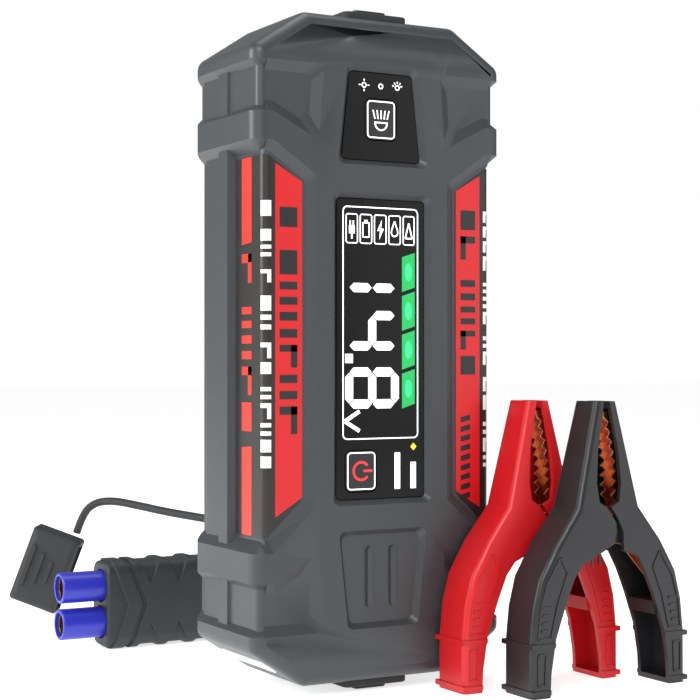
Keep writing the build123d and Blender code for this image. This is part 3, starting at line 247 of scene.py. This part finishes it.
# ---------------------------------------------------------------- mesh helpers
def new_piece(
    name: str,
    verts: np.ndarray,
    faces: list,
    finish: Finish,
    body: str,
    smooth: bool = False,
) -> bpy.types.Object:
    """Make an object from points and faces, dress it and let it ride on a body.

    Args:
        name: Object name.
        verts: Points as an (n, 3) array in metres.
        faces: Faces as lists of point numbers.
        finish: Surface finish.
        body: Name of the body that it moves with.
        smooth: Whether faces are shaded smooth.

    Returns:
        The new object.
    """
    mesh = bpy.data.meshes.new(name)
    mesh.from_pydata([tuple(v) for v in verts.tolist()], [], faces)
    mesh.validate()
    mesh.polygons.foreach_set("use_smooth", np.full(len(mesh.polygons), smooth))
    made = bpy.data.objects.new(name, mesh)
    bpy.context.scene.collection.objects.link(made)
    made.data.materials.append(finish.material())
    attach(made, body)
    return made


def smooth_copy(
    node: str, finish: Finish, body: str, bevel_mm: float, angle: float = 32.0
) -> bpy.types.Object:
    """Merged copy of a CAD node with soft shading and rounded sharp edges, which stands for the node.

    Args:
        node: The CAD node's name.
        finish: Surface finish.
        body: Body that it moves with.
        bevel_mm: Width of the rounding on sharp edges, or 0 for none.
        angle: Edges that turn more than this many degrees stay sharp or are rounded.

    Returns:
        The new object.
    """
    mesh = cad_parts[node].data.copy()
    mesh.name = f"{node}_skin"
    work = bmesh.new()
    work.from_mesh(mesh)
    bmesh.ops.remove_doubles(work, verts=work.verts, dist=2e-6)
    bmesh.ops.dissolve_limit(
        work, angle_limit=math.radians(0.6), verts=work.verts, edges=work.edges, delimit=set()
    )
    for face in work.faces:
        face.smooth = True
    for edge in work.edges:
        edge.smooth = not (len(edge.link_faces) == 2 and edge.calc_face_angle(0) > math.radians(angle))
    work.to_mesh(mesh)
    work.free()
    mesh.materials.clear()
    mesh.materials.append(finish.material())
    made = bpy.data.objects.new(f"{node}_skin", mesh)
    bpy.context.scene.collection.objects.link(made)
    if bevel_mm:
        rounding = made.modifiers.new("edges", "BEVEL")
        rounding.width = bevel_mm * MM
        rounding.segments = 3
        rounding.limit_method = "ANGLE"
        rounding.angle_limit = math.radians(angle)
        rounding.harden_normals = True
    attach(made, body)
    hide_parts(node)
    return made


@dataclass
class Print:
    """Thin raised marks of one ink on one flat front face, gathered into one mesh."""

    name: str
    finish: Finish
    slot: str
    level_mm: float
    height_mm: float = 0.06
    body: str = "pack"
    sunk_mm: float = 0.05
    verts: list = field(default_factory=list)
    faces: list = field(default_factory=list)
    count: int = 0

    def _place(self, outline: np.ndarray, out: float) -> np.ndarray:
        """Put flat (across, up) points a distance out from the face, which looks towards -Y."""
        depth = np.full(len(outline), -(self.level_mm + out))
        return np.stack((outline[:, 0], depth, outline[:, 1]), axis=1) * MM

    def area(self, points: list | np.ndarray) -> None:
        """Add a filled outline.

        Args:
            points: The outline's (across, up) points, in either direction round it.
        """
        outline = np.array(points, float)
        x, y = outline[:, 0], outline[:, 1]
        if np.sum(x * np.roll(y, -1) - np.roll(x, -1) * y) < 0:
            outline = outline[::-1]
        n = len(outline)
        self.verts += [self._place(outline, self.height_mm), self._place(outline, -self.sunk_mm)]
        top = list(range(self.count, self.count + n))
        low = list(range(self.count + n, self.count + 2 * n))
        self.faces += [top, low[::-1]]
        self.faces += [[low[i], low[(i + 1) % n], top[(i + 1) % n], top[i]] for i in range(n)]
        self.count += 2 * n

    def band(self, outer: np.ndarray, inner: np.ndarray) -> None:
        """Add a closed ring between two outlines.

        Args:
            outer: Outer outline.
            inner: Inner outline, with the same number of points.
        """
        n = len(outer)
        top, low = self.height_mm, -self.sunk_mm
        layers = [(outer, top), (inner, top), (outer, low), (inner, low)]
        self.verts += [self._place(np.array(loop, float), out) for loop, out in layers]
        a, b, c, d = (self.count + n * k for k in range(4))
        for i in range(n):
            j = (i + 1) % n
            self.faces.append([a + i, a + j, b + j, b + i])
            self.faces.append([c + i, d + i, d + j, c + j])
            self.faces.append([c + i, c + j, a + j, a + i])
            self.faces.append([d + j, d + i, b + i, b + j])
        self.count += 4 * n

    def bar(self, start: tuple, end: tuple, width: float) -> None:
        """Add a straight bar.

        Args:
            start: Middle of one end.
            end: Middle of the other end.
            width: Width of the bar.
        """
        a, b = np.array(start, float), np.array(end, float)
        side = np.array((-(b - a)[1], (b - a)[0])) / np.linalg.norm(b - a) * width / 2
        self.area([a - side, b - side, b + side, a + side])

    def frame(self, x0: float, z0: float, x1: float, z1: float, radius: float, width: float) -> None:
        """Add a rounded rectangular line.

        Args:
            x0: Lowest across.
            z0: Lowest up.
            x1: Highest across.
            z1: Highest up.
            radius: Outer corner radius.
            width: Width of the line.
        """
        outer = rounded_loop(x0, z0, x1, z1, radius)
        inner = rounded_loop(x0 + width, z0 + width, x1 - width, z1 - width, max(radius - width, 0.1))
        self.band(outer, inner)

    def ring(self, x: float, z: float, radius: float, width: float) -> None:
        """Add a full circle line.

        Args:
            x: Centre across.
            z: Centre up.
            radius: Outer radius.
            width: Width of the line.
        """
        turn = np.linspace(0, 2 * np.pi, RING_POINTS, endpoint=False)
        circle = np.stack((np.cos(turn), np.sin(turn)), axis=1)
        self.band(circle * radius + (x, z), circle * (radius - width) + (x, z))

    def arc(self, x: float, z: float, radius: float, width: float, start: float, end: float) -> None:
        """Add part of a circle line.

        Args:
            x: Centre across.
            z: Centre up.
            radius: Outer radius.
            width: Width of the line.
            start: First angle, in degrees.
            end: Last angle, in degrees.
        """
        turn = np.radians(np.linspace(start, end, ARC_POINTS))
        circle = np.stack((np.cos(turn), np.sin(turn)), axis=1)
        self.area(np.concatenate((circle * radius, circle[::-1] * (radius - width))) + (x, z))

    def finish_piece(self) -> bpy.types.Object:
        """Make the object of everything that was added."""
        verts = np.concatenate(self.verts)
        return new_piece(self.name, verts, self.faces, self.finish, self.body)


def rounded_loop(x0: float, z0: float, x1: float, z1: float, radius: float, steps: int = 8) -> np.ndarray:
    """Rounded rectangle: four quarter circles of a radius round the corner centres.

    Args:
        x0: Lowest across.
        z0: Lowest up.
        x1: Highest across.
        z1: Highest up.
        radius: Corner radius.
        steps: Points on each corner.

    Returns:
        Points as an (n, 2) array, anticlockwise.
    """
    corners = [(x1 - radius, z0 + radius, -90), (x1 - radius, z1 - radius, 0)]
    corners += [(x0 + radius, z1 - radius, 90), (x0 + radius, z0 + radius, 180)]
    loops = []
    for x, z, start in corners:
        turn = np.radians(np.linspace(start, start + 90, steps))
        loops.append(np.stack((x + radius * np.cos(turn), z + radius * np.sin(turn)), axis=1))
    return np.concatenate(loops)


# ---------------------------------------------------------------- studio
@dataclass
class Studio:
    """Camera at standing-product height, pale floor and soft lights."""

    eye: tuple = (-0.287, -0.5098, 0.1132)
    yaw_deg: float = 29.44
    lift_deg: float = 0.35
    lens_mm: float = 84.9

    def build(self) -> None:
        """Make the camera, floor, world and lights."""
        scene = bpy.context.scene
        lens = bpy.data.cameras.new("view")
        lens.lens = self.lens_mm
        lens.sensor_width = 36.0
        lens.clip_start = 0.01
        camera = bpy.data.objects.new("view", lens)
        camera.location = self.eye
        camera.rotation_euler = (math.radians(90 + self.lift_deg), 0, math.radians(-self.yaw_deg))
        scene.collection.objects.link(camera)
        scene.camera = camera
        scene.view_settings.view_transform = "Standard"
        self._floor()
        self._world()
        self._light("key", (-0.75, -0.75, 0.85), (0, 0, 0.12), 0.6, 9.0)
        self._light("fill", (0.85, -0.85, 0.45), (0, 0, 0.1), 0.8, 2.5)
        self._light("rim_left", (-0.75, 0.25, 0.35), (0, 0, 0.12), 0.45, 5.0)
        self._light("top", (0.05, 0.05, 1.0), (0, 0, 0.1), 0.5, 3.0)

    def _floor(self) -> None:
        """Large pale floor with a very faint unevenness."""
        verts = np.array([(-6, -6, 0), (6, -6, 0), (6, 6, 0), (-6, 6, 0)], float)
        mesh = bpy.data.meshes.new("floor")
        mesh.from_pydata(verts.tolist(), [], [[0, 1, 2, 3]])
        floor = bpy.data.objects.new("floor", mesh)
        bpy.context.scene.collection.objects.link(floor)
        pale = Finish(
            "studio_floor",
            "#fafafa",
            "#f7f7f7",
            0.8,
            0.02,
            grain_mm=40,
            blotch_mm=400,
            grain_depth=0,
            glow=0.72,
        )
        mesh.materials.append(pale.material())

    def _world(self) -> None:
        """Even white surroundings."""
        world = bpy.data.worlds.new("studio")
        world.use_nodes = True
        tree = world.node_tree
        back = tree.nodes["Background"]
        back.inputs["Color"].default_value = (1, 1, 1, 1)
        path = add_node(tree, "ShaderNodeLightPath", {}, {})
        level = add_node(tree, "ShaderNodeMapRange", {3: 0.3, 4: 1.0}, {0: path.outputs["Is Camera Ray"]})
        tree.links.new(level.outputs[0], back.inputs["Strength"])
        bpy.context.scene.world = world

    def _light(self, name: str, at: tuple, to: tuple, size: float, watts: float) -> None:
        """Add a square soft light.

        Args:
            name: Name of the light.
            at: Where it stands, in metres.
            to: The point that it looks at.
            size: Width of the light.
            watts: Its power.
        """
        lamp = bpy.data.lights.new(name, "AREA")
        lamp.energy = watts
        lamp.size = size
        made = bpy.data.objects.new(name, lamp)
        made.location = at
        aim = np.array(to) - np.array(at)
        made.rotation_euler = (
            math.atan2(math.hypot(aim[0], aim[1]), -aim[2]),
            0,
            math.atan2(-aim[0], aim[1]) if abs(aim[0]) + abs(aim[1]) > 1e-6 else 0,
        )
        bpy.context.scene.collection.objects.link(made)


# ---------------------------------------------------------------- connector
@dataclass
class LeadConnector:
    """Two-pole plug on its rubber grip, with the capped strap behind it."""

    strap_mm: tuple = (
        (6.0, 104.8, 37.2),
        (5.2, 105.4, 43.5),
        (2.0, 112.0, 46.6),
        (-3.5, 124.0, 47.6),
        (-9.5, 141.0, 48.6),
        (-16.0, 158.0, 50.4),
        (-21.5, 172.5, 51.6),
        (-25.5, 184.0, 50.0),
        (-28.4, 191.3, 44.5),
        (-30.6, 193.0, 36.0),
    )
    strap_dia_mm: float = 3.4

    def build_strap(self) -> None:
        """Make the strap as a smooth curve with a round section."""
        line = bpy.data.curves.new("strap", "CURVE")
        line.dimensions = "3D"
        line.bevel_depth = self.strap_dia_mm / 2 * MM
        line.bevel_resolution = 6
        line.resolution_u = 12
        line.use_fill_caps = True
        spline = line.splines.new("NURBS")
        spline.points.add(len(self.strap_mm) - 1)
        flat = [c for x, y, z in self.strap_mm for c in (x * MM, y * MM, z * MM, 1.0)]
        spline.points.foreach_set("co", flat)
        spline.order_u = 3
        spline.use_endpoint_u = True
        strap = bpy.data.objects.new("strap", line)
        bpy.context.scene.collection.objects.link(strap)
        line.materials.append(RUBBER.material())
        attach(strap, "lead_connector")
        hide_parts("cap_strap")

    def build(self) -> None:
        """Dress the grip, the shrouds, the contacts and the collar."""
        body = "lead_connector"
        smooth_copy("connector_grip", GRIP_RUBBER, body, 0.35, 28)
        smooth_copy("connector_shrouds", PLUG_BLUE, body, 0.25)
        smooth_copy("connector_contacts", BRASS, body, 0.1)
        smooth_copy("strap_collar", RUBBER, body, 0.3)


# ---------------------------------------------------------------- printed and lit marks
class Mark(Enum):
    """Shapes of the plain block marks that stand in for lettering."""

    SOLID = 0
    SLOTTED = 1
    HOOKED = 2


@dataclass
class LabelPrint:
    """Inked patches that follow one label film from its front, round the corner, to its side."""

    side: int
    name: str
    finish: Finish
    corner_mm: tuple = (42.1, -20.0)
    radius_mm: float = 2.8
    lift_mm: float = 0.05
    sunk_mm: float = 0.08
    step_mm: float = 0.5
    length_spread: tuple = (0.75, 1.1)
    slot_share: float = 0.34
    hook_width: float = 0.36
    hook_height: float = 0.3
    near_gap: float = 0.28
    far_gap: float = 0.9
    near_odds: float = 0.8
    verts: list = field(default_factory=list)
    faces: list = field(default_factory=list)
    count: int = 0

    def _wrap(self, run: np.ndarray, z: np.ndarray, out: float) -> np.ndarray:
        """Place points on the film.

        Args:
            run: Distance along the film from the start of its corner.
            z: Height.
            out: Distance out from the film.

        Returns:
            Points as an (n, 3) array in metres.
        """
        radius = self.radius_mm + out
        turn = np.clip(run / self.radius_mm, 0, np.pi / 2)
        before = np.minimum(run, 0)
        after = np.maximum(run - self.radius_mm * np.pi / 2, 0)
        x = self.corner_mm[0] + before + radius * np.sin(turn)
        y = self.corner_mm[1] - radius * np.cos(turn) + after
        return np.stack((self.side * x, y, z), axis=1) * MM

    def patch(self, start: float, end: float, low: tuple, high: tuple) -> None:
        """Add a patch that bends with the film.

        Args:
            start: Run where it starts.
            end: Run where it ends.
            low: Lower heights, at the start and at the end.
            high: Upper heights, at the start and at the end.
        """
        steps = max(2, int(abs(end - start) / self.step_mm) + 1)
        share = np.linspace(0, 1, steps)
        run = start + (end - start) * share
        z_low = low[0] + (low[1] - low[0]) * share
        z_high = high[0] + (high[1] - high[0]) * share
        for out in (self.lift_mm, -self.sunk_mm):
            self.verts += [self._wrap(run, z_low, out), self._wrap(run, z_high, out)]
        a, b, c, d = (self.count + steps * k for k in range(4))
        for i in range(steps - 1):
            quads = [[a + i, a + i + 1, b + i + 1, b + i], [c + i, d + i, d + i + 1, c + i + 1]]
            quads += [[a + i, c + i, c + i + 1, a + i + 1], [b + i, b + i + 1, d + i + 1, d + i]]
            self.faces += quads
        self.faces += [[a, b, d, c], [b + steps - 1, a + steps - 1, c + steps - 1, d + steps - 1]]
        self.count += 4 * steps

    def marks(self, start: float, end: float, low: float, high: float, tall: float, seed: int) -> None:
        """Add a column of plain block marks of uneven length, in groups.

        Args:
            start: Run where the marks start.
            end: Run where they end.
            low: Lowest height.
            high: Highest height.
            tall: Usual length of a mark.
            seed: Seed of the marks' lengths, shapes and gaps.
        """
        rng = np.random.default_rng(seed)
        shapes = list(Mark)
        z = high
        while z - tall > low:
            length = tall * rng.uniform(*self.length_spread)
            shape = shapes[rng.integers(0, len(shapes))]
            bottom = z - length
            if shape is Mark.SOLID:
                self.patch(start, end, (bottom, bottom), (z, z))
            elif shape is Mark.SLOTTED:
                third = length * self.slot_share
                self.patch(start, end, (bottom, bottom), (bottom + third, bottom + third))
                self.patch(start, end, (z - third, z - third), (z, z))
            else:
                across = start + (end - start) * self.hook_width
                head = z - length * self.hook_height
                self.patch(start, across, (bottom, bottom), (z, z))
                self.patch(start, end, (head, head), (z, z))
            z = bottom - tall * (self.near_gap if rng.random() < self.near_odds else self.far_gap)

    def finish_piece(self) -> bpy.types.Object:
        """Make the object of everything that was added."""
        verts = np.concatenate(self.verts)
        made = new_piece(self.name, verts, self.faces, self.finish, "pack")
        work = bmesh.new()
        work.from_mesh(made.data)
        bmesh.ops.recalc_face_normals(work, faces=work.faces)
        work.to_mesh(made.data)
        work.free()
        return made


@dataclass
class LabelInks:
    """All inks of one label film: red front strip, corner marks, and stripes on the side."""

    side: int
    word: str
    red_run: tuple = (-11.6, -1.6)
    red_low: tuple = (67.4, 61.2)
    red_high: tuple = (172.6, 178.4)
    white_run: tuple = (-0.1, 3.7)
    white_heights: tuple = (70.0, 166.0)
    stripe_run: tuple = (10.4, 17.7)
    top_stripe: tuple = ((152.6, 152.0), (181.0, 181.0))
    low_stripe: tuple = ((54.6, 54.6), (84.4, 83.8))
    stripe_marks: tuple = (86.5, 148.8)
    bar_run: tuple = (-9.6, -5.6)
    bar_low: float = 64.0
    bar_pitch: float = 3.4
    bar_count: int = 9
    bar_slant: float = 0.9
    bar_thick: float = 1.9

    def _print(self, what: str, finish: Finish, **more: float) -> LabelPrint:
        """Start a print of one ink on this film."""
        return LabelPrint(self.side, f"{self.word}_label_{what}", finish, **more)

    def build(self) -> None:
        """Make the film's four inks."""
        red = self._print("red", FILM_RED)
        red.patch(*self.red_run, self.red_low, self.red_high)
        red.finish_piece()
        ink = self._print("ink", FILM_INK, lift_mm=0.1)
        if self.side < 0:
            ink.marks(-9.8, -3.2, 84.0, 164.0, 8.5, 3)
        else:
            for i in range(self.bar_count):
                z = self.bar_low + i * self.bar_pitch
                top = z + self.bar_thick
                ink.patch(*self.bar_run, (z, z + self.bar_slant), (top, top + self.bar_slant))
            ink.marks(-9.6, -3.4, 98.0, 166.0, 8.0, 8)
        ink.finish_piece()
        white = self._print("white", FILM_WHITE)
        white.marks(*self.white_run, *self.white_heights, 4.8, 11 + self.side)
        white.finish_piece()
        stripe = self._print("stripes", FILM_ORANGE)
        stripe.patch(*self.stripe_run, *self.top_stripe)
        stripe.patch(*self.stripe_run, *self.low_stripe)
        stripe.marks(*self.stripe_run, *self.stripe_marks, 9.0, 5 + self.side)
        stripe.finish_piece()


@dataclass
class DisplayFace:
    """Backlit symbols of the display panel: frame, icons, charge bar and the reading on its side."""

    level_mm: float = 22.7
    foot_mm: float = -14.0
    head_mm: float = 7.2
    stroke_mm: float = 3.1
    gap_mm: float = 0.25
    bar_low: float = 96.5
    bar_pitch: float = 13.4
    bar_count: int = 4
    segments: tuple = (
        ("a", 0, 1, 1, 1),
        ("b", 1, 0.5, 1, 1),
        ("c", 1, 0, 1, 0.5),
        ("d", 0, 0, 1, 0),
        ("e", 0, 0, 0, 0.5),
        ("f", 0, 0.5, 0, 1),
        ("g", 0, 0.5, 1, 0.5),
    )

    def _digit(self, ink: Print, lit: str, top: float, wide: float) -> None:
        """Add one seven-segment digit whose head points to +X and which reads downwards.

        Args:
            ink: The print that takes it.
            lit: Letters of the lit segments.
            top: Height of the digit's left side.
            wide: The digit's width.
        """
        half = self.stroke_mm / 2
        tall = self.head_mm - self.foot_mm
        for name, u0, v0, u1, v1 in self.segments:
            if name not in lit:
                continue
            ends = []
            for u, v in ((u0, v0), (u1, v1)):
                along = self.foot_mm + half + v * (tall - 2 * half)
                ends.append(np.array((along, top - half - u * max(wide - 2 * half, 0.0))))
            way = (ends[1] - ends[0]) / np.linalg.norm(ends[1] - ends[0])
            side = np.array((-way[1], way[0])) * half
            a, b = ends[0] + way * self.gap_mm, ends[1] - way * self.gap_mm
            ink.area([a, a + way * half - side, b - way * half - side, b])
            ink.area([a, b, b - way * half + side, a + way * half + side])

    def _icons(self, ink: Print) -> None:
        """Add five small framed icons to a print: plug, cell, bolt, drop and triangle."""
        for low, high in ((-13.8, -9.0), (-8.3, -3.4), (-2.7, 2.3), (3.0, 8.0), (8.8, 13.6)):
            ink.frame(low, 152.8, high, 163.0, 0.9, 0.38)
        ink.area([(-12.5, 156.2), (-10.3, 156.2), (-10.3, 158.9), (-12.5, 158.9)])
        ink.bar((-12.0, 158.9), (-12.0, 160.6), 0.5)
        ink.bar((-10.8, 158.9), (-10.8, 160.6), 0.5)
        ink.bar((-11.4, 156.2), (-11.4, 154.4), 0.5)
        ink.frame(-7.3, 154.9, -4.4, 160.2, 0.4, 0.4)
        ink.bar((-6.5, 160.6), (-5.2, 160.6), 0.7)
        ink.area([(0.4, 161.2), (-1.4, 157.4), (-0.3, 157.4), (-0.6, 154.4), (1.2, 158.2), (0.1, 158.2)])
        ink.arc(5.5, 157.0, 1.5, 0.45, 150, 390)
        ink.bar((5.5, 160.9), (4.3, 157.8), 0.45)
        ink.bar((5.5, 160.9), (6.7, 157.8), 0.45)
        ink.bar((9.8, 155.2), (12.6, 155.2), 0.5)
        ink.bar((9.8, 155.2), (11.2, 160.4), 0.5)
        ink.bar((12.6, 155.2), (11.2, 160.4), 0.5)

    def build(self) -> None:
        """Make the white, green and yellow marks of the panel."""
        white = Print("display_white_marks", LIGHT_WHITE, "gloss_black", self.level_mm)
        white.frame(-15.0, 86.2, 15.0, 165.5, 1.8, 0.42)
        self._icons(white)
        self._digit(white, "bc", 139.4, 3.1)
        self._digit(white, "bcfg", 130.0, 13.5)
        self._digit(white, "abcdefg", 110.7, 14.0)
        white.area([(-14.0, 112.2), (-11.0, 112.2), (-11.0, 115.3), (-14.0, 115.3)])
        white.bar((-8.4, 95.8), (-14.0, 92.5), 1.3)
        white.bar((-8.4, 89.1), (-14.0, 92.4), 1.3)
        white.bar((6.6, 68.9), (6.6, 81.4), 2.2)
        white.bar((13.0, 68.9), (13.0, 78.0), 2.2)
        white.finish_piece()
        green = Print("display_charge_bar", LIGHT_GREEN, "gloss_black", self.level_mm)
        hot = Print("display_charge_glow", LIGHT_GREEN_HOT, "gloss_black", self.level_mm + 0.06)
        turn = np.linspace(0, 2 * np.pi, 24, endpoint=False)
        for i in range(self.bar_count):
            low = self.bar_low + i * self.bar_pitch
            green.area([(8.5, low), (13.6, low + 1.6), (13.6, low + 13.6), (8.5, low + 12.0)])
            hot.area(np.stack((11.05 + 1.3 * np.cos(turn), low + 6.8 + 3.0 * np.sin(turn)), axis=1))
        green.finish_piece()
        hot.finish_piece()
        yellow = Print("display_ready_mark", LIGHT_YELLOW, "gloss_black", self.level_mm)
        yellow.area([(13.1, 82.0), (14.3, 83.3), (13.1, 84.6), (11.9, 83.3)])
        yellow.finish_piece()


@dataclass
class KeySymbols:
    """Lit symbols of both keys and of the lamp modes above the lamp key."""

    rim_inset: float = 0.5
    rim_radius: float = 1.4
    line: float = 0.42
    mode_height: float = 207.0
    modes: tuple = ((-6.6, (0, 90, 180, 270)), (0.0, ()), (6.6, (18, 54, 90, 126, 162)))

    def _rim(self, ink: Print, low: np.ndarray, high: np.ndarray) -> None:
        """Draw the line round a key, inset from its box."""
        inset = self.rim_inset
        ink.frame(
            low[0] + inset,
            low[2] + inset,
            high[0] - inset,
            high[2] - inset,
            self.rim_radius,
            self.line,
        )

    def _power(self) -> None:
        """Draw the power key's rim and its symbol, open to the right."""
        low, high = (np.array(corner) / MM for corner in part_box("power_button"))
        rim = Print("power_key_rim", LIGHT_WHITE, "key_grey", -low[1], body="power_key")
        self._rim(rim, low, high)
        rim.finish_piece()
        x, z = (low[0] + high[0]) / 2, (low[2] + high[2]) / 2
        power = Print("power_key_symbol", LIGHT_RED, "key_grey", -low[1], body="power_key")
        power.arc(x, z, 3.4, 0.8, 38, 322)
        power.bar((x + 0.9, z), (x + 4.3, z), 0.8)
        power.finish_piece()

    def _lamp(self) -> None:
        """Draw the lamp key's rim and its symbol: five rays above a bowl."""
        low, high = (np.array(corner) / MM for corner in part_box("lamp_button"))
        x, z = (low[0] + high[0]) / 2, (low[2] + high[2]) / 2
        lamp = Print("lamp_key_symbol", LIGHT_WHITE, "key_grey", -low[1], body="lamp_key")
        self._rim(lamp, low, high)
        lamp.arc(x, z - 1.2, 2.6, 0.5, 180, 360)
        lamp.bar((x - 2.6, z - 1.0), (x + 2.6, z - 1.0), 0.5)
        for i in range(5):
            lamp.bar((x - 2.4 + 1.2 * i, z + 0.2), (x - 3.2 + 1.6 * i, z + 3.2), self.line)
        lamp.finish_piece()

    def _modes(self) -> None:
        """Draw three small lamps, with four, no and five rays."""
        marks = Print("lamp_mode_marks", LIGHT_WHITE, "gloss_black", 22.7)
        for x, angles in self.modes:
            marks.ring(x, self.mode_height, 0.95, 0.36)
            for angle in np.radians(angles):
                way = np.array((np.cos(angle), np.sin(angle)))
                centre = np.array((x, self.mode_height))
                marks.bar(centre + way * 1.35, centre + way * 2.1, 0.34)
        marks.finish_piece()

    def build(self) -> None:
        """Make every symbol."""
        self._power()
        self._lamp()
        self._modes()


@dataclass
class ClampRelief:
    """Raised moulded lines and grip ribs on the front of one clamp."""

    colour: str
    finish: Finish
    half_width: float = 33.45
    band_proud: float = 0.45
    height: float = 0.35
    line: float = 0.7
    rib_line: float = 0.8
    rib_low: float = 22.5
    rib_pitch: float = 2.6
    rib_count: int = 4
    handle: tuple = ((30.6, 4.4), (30.6, 14.6), (27.4, 14.6), (27.8, 4.4))
    shaft: tuple = (
        (30.6, 19.8),
        (29.7, 29.0),
        (27.0, 38.2),
        (21.4, 46.8),
        (18.4, 41.4),
        (22.4, 31.6),
        (25.4, 20.0),
    )

    def _arm(self, part: str, side: int) -> None:
        """Make the relief of one arm.

        Args:
            part: Last words of the arm's node.
            side: -1 for the left arm and +1 for the right one.
        """
        node = f"{self.colour}_{part}"
        low, high = (np.array(corner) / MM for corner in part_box(node))
        centre = high[0] - self.half_width if side > 0 else low[0] + self.half_width
        body = f"{self.colour}_clamp" if side < 0 else f"{self.colour}_lever"
        level = -(low[1] + self.band_proud)
        slot = f"clamp_{self.colour}"
        relief = Print(f"{node}_relief", self.finish, slot, level, self.height, body)
        for loop in (self.handle, self.shaft):
            for a, b in zip(loop, loop[1:] + loop[:1]):
                relief.bar((centre + side * a[0], a[1]), (centre + side * b[0], b[1]), self.line)
        for i in range(self.rib_count):
            z = self.rib_low + self.rib_pitch * i
            near = centre + side * (26.6 - 0.45 * i)
            far = centre + side * (29.4 - 0.2 * i)
            relief.bar((near, z), (far, z), self.rib_line)
        relief.finish_piece()

    def build(self) -> None:
        """Make the relief of both arms."""
        self._arm("clamp_arm", -1)
        self._arm("clamp_lever", 1)


@dataclass
class LampLens:
    """Fine flutes on the work-lamp lens, which lies on the corner chamfer."""

    count: int = 30
    margin: float = 1.6
    flute_half: float = 0.3
    flute_rise: float = 0.45
    lift: float = 0.2
    reach: float = 3.6
    chamfer: tuple = (19.7, 13.0)

    def build(self) -> None:
        """Make all flutes as one piece of small ridges."""
        low, high = (np.array(corner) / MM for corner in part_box("lamp_lens"))
        run, rise = self.chamfer
        slope = math.hypot(run, rise)
        out = np.array((-rise, 0.0, -run)) / slope
        along = np.array((run, 0.0, -rise)) / slope
        middle = (low + high) / 2 * (1, 0, 1) + out * self.lift
        verts, faces = [], []
        for i, y in enumerate(np.linspace(low[1] + self.margin, high[1] - self.margin, self.count)):
            inset = 1.6 if 1 < i < self.count - 2 else 2.2
            end = self.reach - inset * 0.4
            for reach in (-end, end):
                base = middle + along * reach + (0.0, y, 0.0)
                verts += [base - (0, self.flute_half, 0), base + out * self.flute_rise]
                verts += [base + (0, self.flute_half, 0)]
            a = 6 * i
            faces += [[a, a + 1, a + 4, a + 3], [a + 1, a + 2, a + 5, a + 4]]
            faces += [[a, a + 2, a + 1], [a + 3, a + 4, a + 5]]
        new_piece("lamp_lens_flutes", np.array(verts) * MM, faces, LENS, "pack")


# ---------------------------------------------------------------- main
PLAIN = {
    "shell_gasket": RUBBER,
    "shell_screws": DARK_STEEL,
    "tact_switches": EPOXY,
    "lamp_board": BOARD,
    "lamp_leds": LED_PHOSPHOR,
    "display_board": BOARD,
    "display_module": LCD,
    "cell_1": POUCH,
    "cell_2": POUCH,
    "cell_3": POUCH,
    "cell_4": POUCH,
    "cell_tabs": NICKEL,
    "link_board": BOARD,
    "cell_tray": TRAY,
    "front_foam": FOAM,
    "back_foam": FOAM,
    "main_board": BOARD,
    "relay": EPOXY,
    "capacitors": CAN,
    "transistors": EPOXY,
    "jump_socket": PLUG_BLUE,
    "socket_pins": BRASS,
    "positive_busbar": BAR_COPPER,
    "negative_busbar": BAR_COPPER,
    "charge_board": BOARD,
    "usb_c_port": STEEL,
    "usb_a_port": STEEL,
    "dc_port": EPOXY,
    "plug_cap": RUBBER,
}


def dress_plain_nodes() -> None:
    """Give every CAD node that keeps its own mesh its finish."""
    for node, finish in PLAIN.items():
        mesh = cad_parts[node].data
        mesh.materials.clear()
        mesh.materials.append(finish.material())


def main() -> None:
    """Build everything in order."""
    logging.basicConfig(level=logging.INFO)
    Studio().build()
    connector = LeadConnector()
    connector.build_strap()
    connector.build()
    log.info("connector done")
    smooth_copy("front_shell", BODY_ABS, "pack", 0.5, 26)
    smooth_copy("back_shell", BODY_ABS, "pack", 0.5, 26)
    smooth_copy("display_panel", DISPLAY_ACRYLIC, "pack", 0.25)
    smooth_copy("lamp_panel", DISPLAY_ACRYLIC, "pack", 0.25)
    smooth_copy("left_label", FILM_BLACK, "pack", 0.0)
    smooth_copy("right_label", FILM_BLACK, "pack", 0.0)
    smooth_copy("power_button", KEY_PAINT, "power_key", 0.2)
    smooth_copy("lamp_button", KEY_PAINT, "lamp_key", 0.2)
    smooth_copy("lamp_lens", LENS, "pack", 0.2)
    smooth_copy("top_cover", RUBBER, "top_port_cover", 0.25)
    smooth_copy("bottom_cover", RUBBER, "bottom_port_cover", 0.25)
    for colour, finish in (("red", CLAMP_RED), ("black", CLAMP_BLACK)):
        smooth_copy(f"{colour}_clamp_arm", finish, f"{colour}_clamp", 0.5, 24)
        smooth_copy(f"{colour}_clamp_lever", finish, f"{colour}_lever", 0.5, 24)
        smooth_copy(f"{colour}_arm_jaw", COPPER, f"{colour}_clamp", 0.15)
        smooth_copy(f"{colour}_lever_jaw", COPPER, f"{colour}_lever", 0.15)
        smooth_copy(f"{colour}_pivot_pin", STEEL, f"{colour}_clamp", 0.2)
        smooth_copy(f"{colour}_spring", DARK_STEEL, f"{colour}_clamp", 0.0, 40)
        ClampRelief(colour, finish).build()
    for side, word in ((-1, "left"), (1, "right")):
        LabelInks(side, word).build()
    DisplayFace().build()
    KeySymbols().build()
    LampLens().build()
    dress_plain_nodes()


if __name__ == "__main__":
    main()
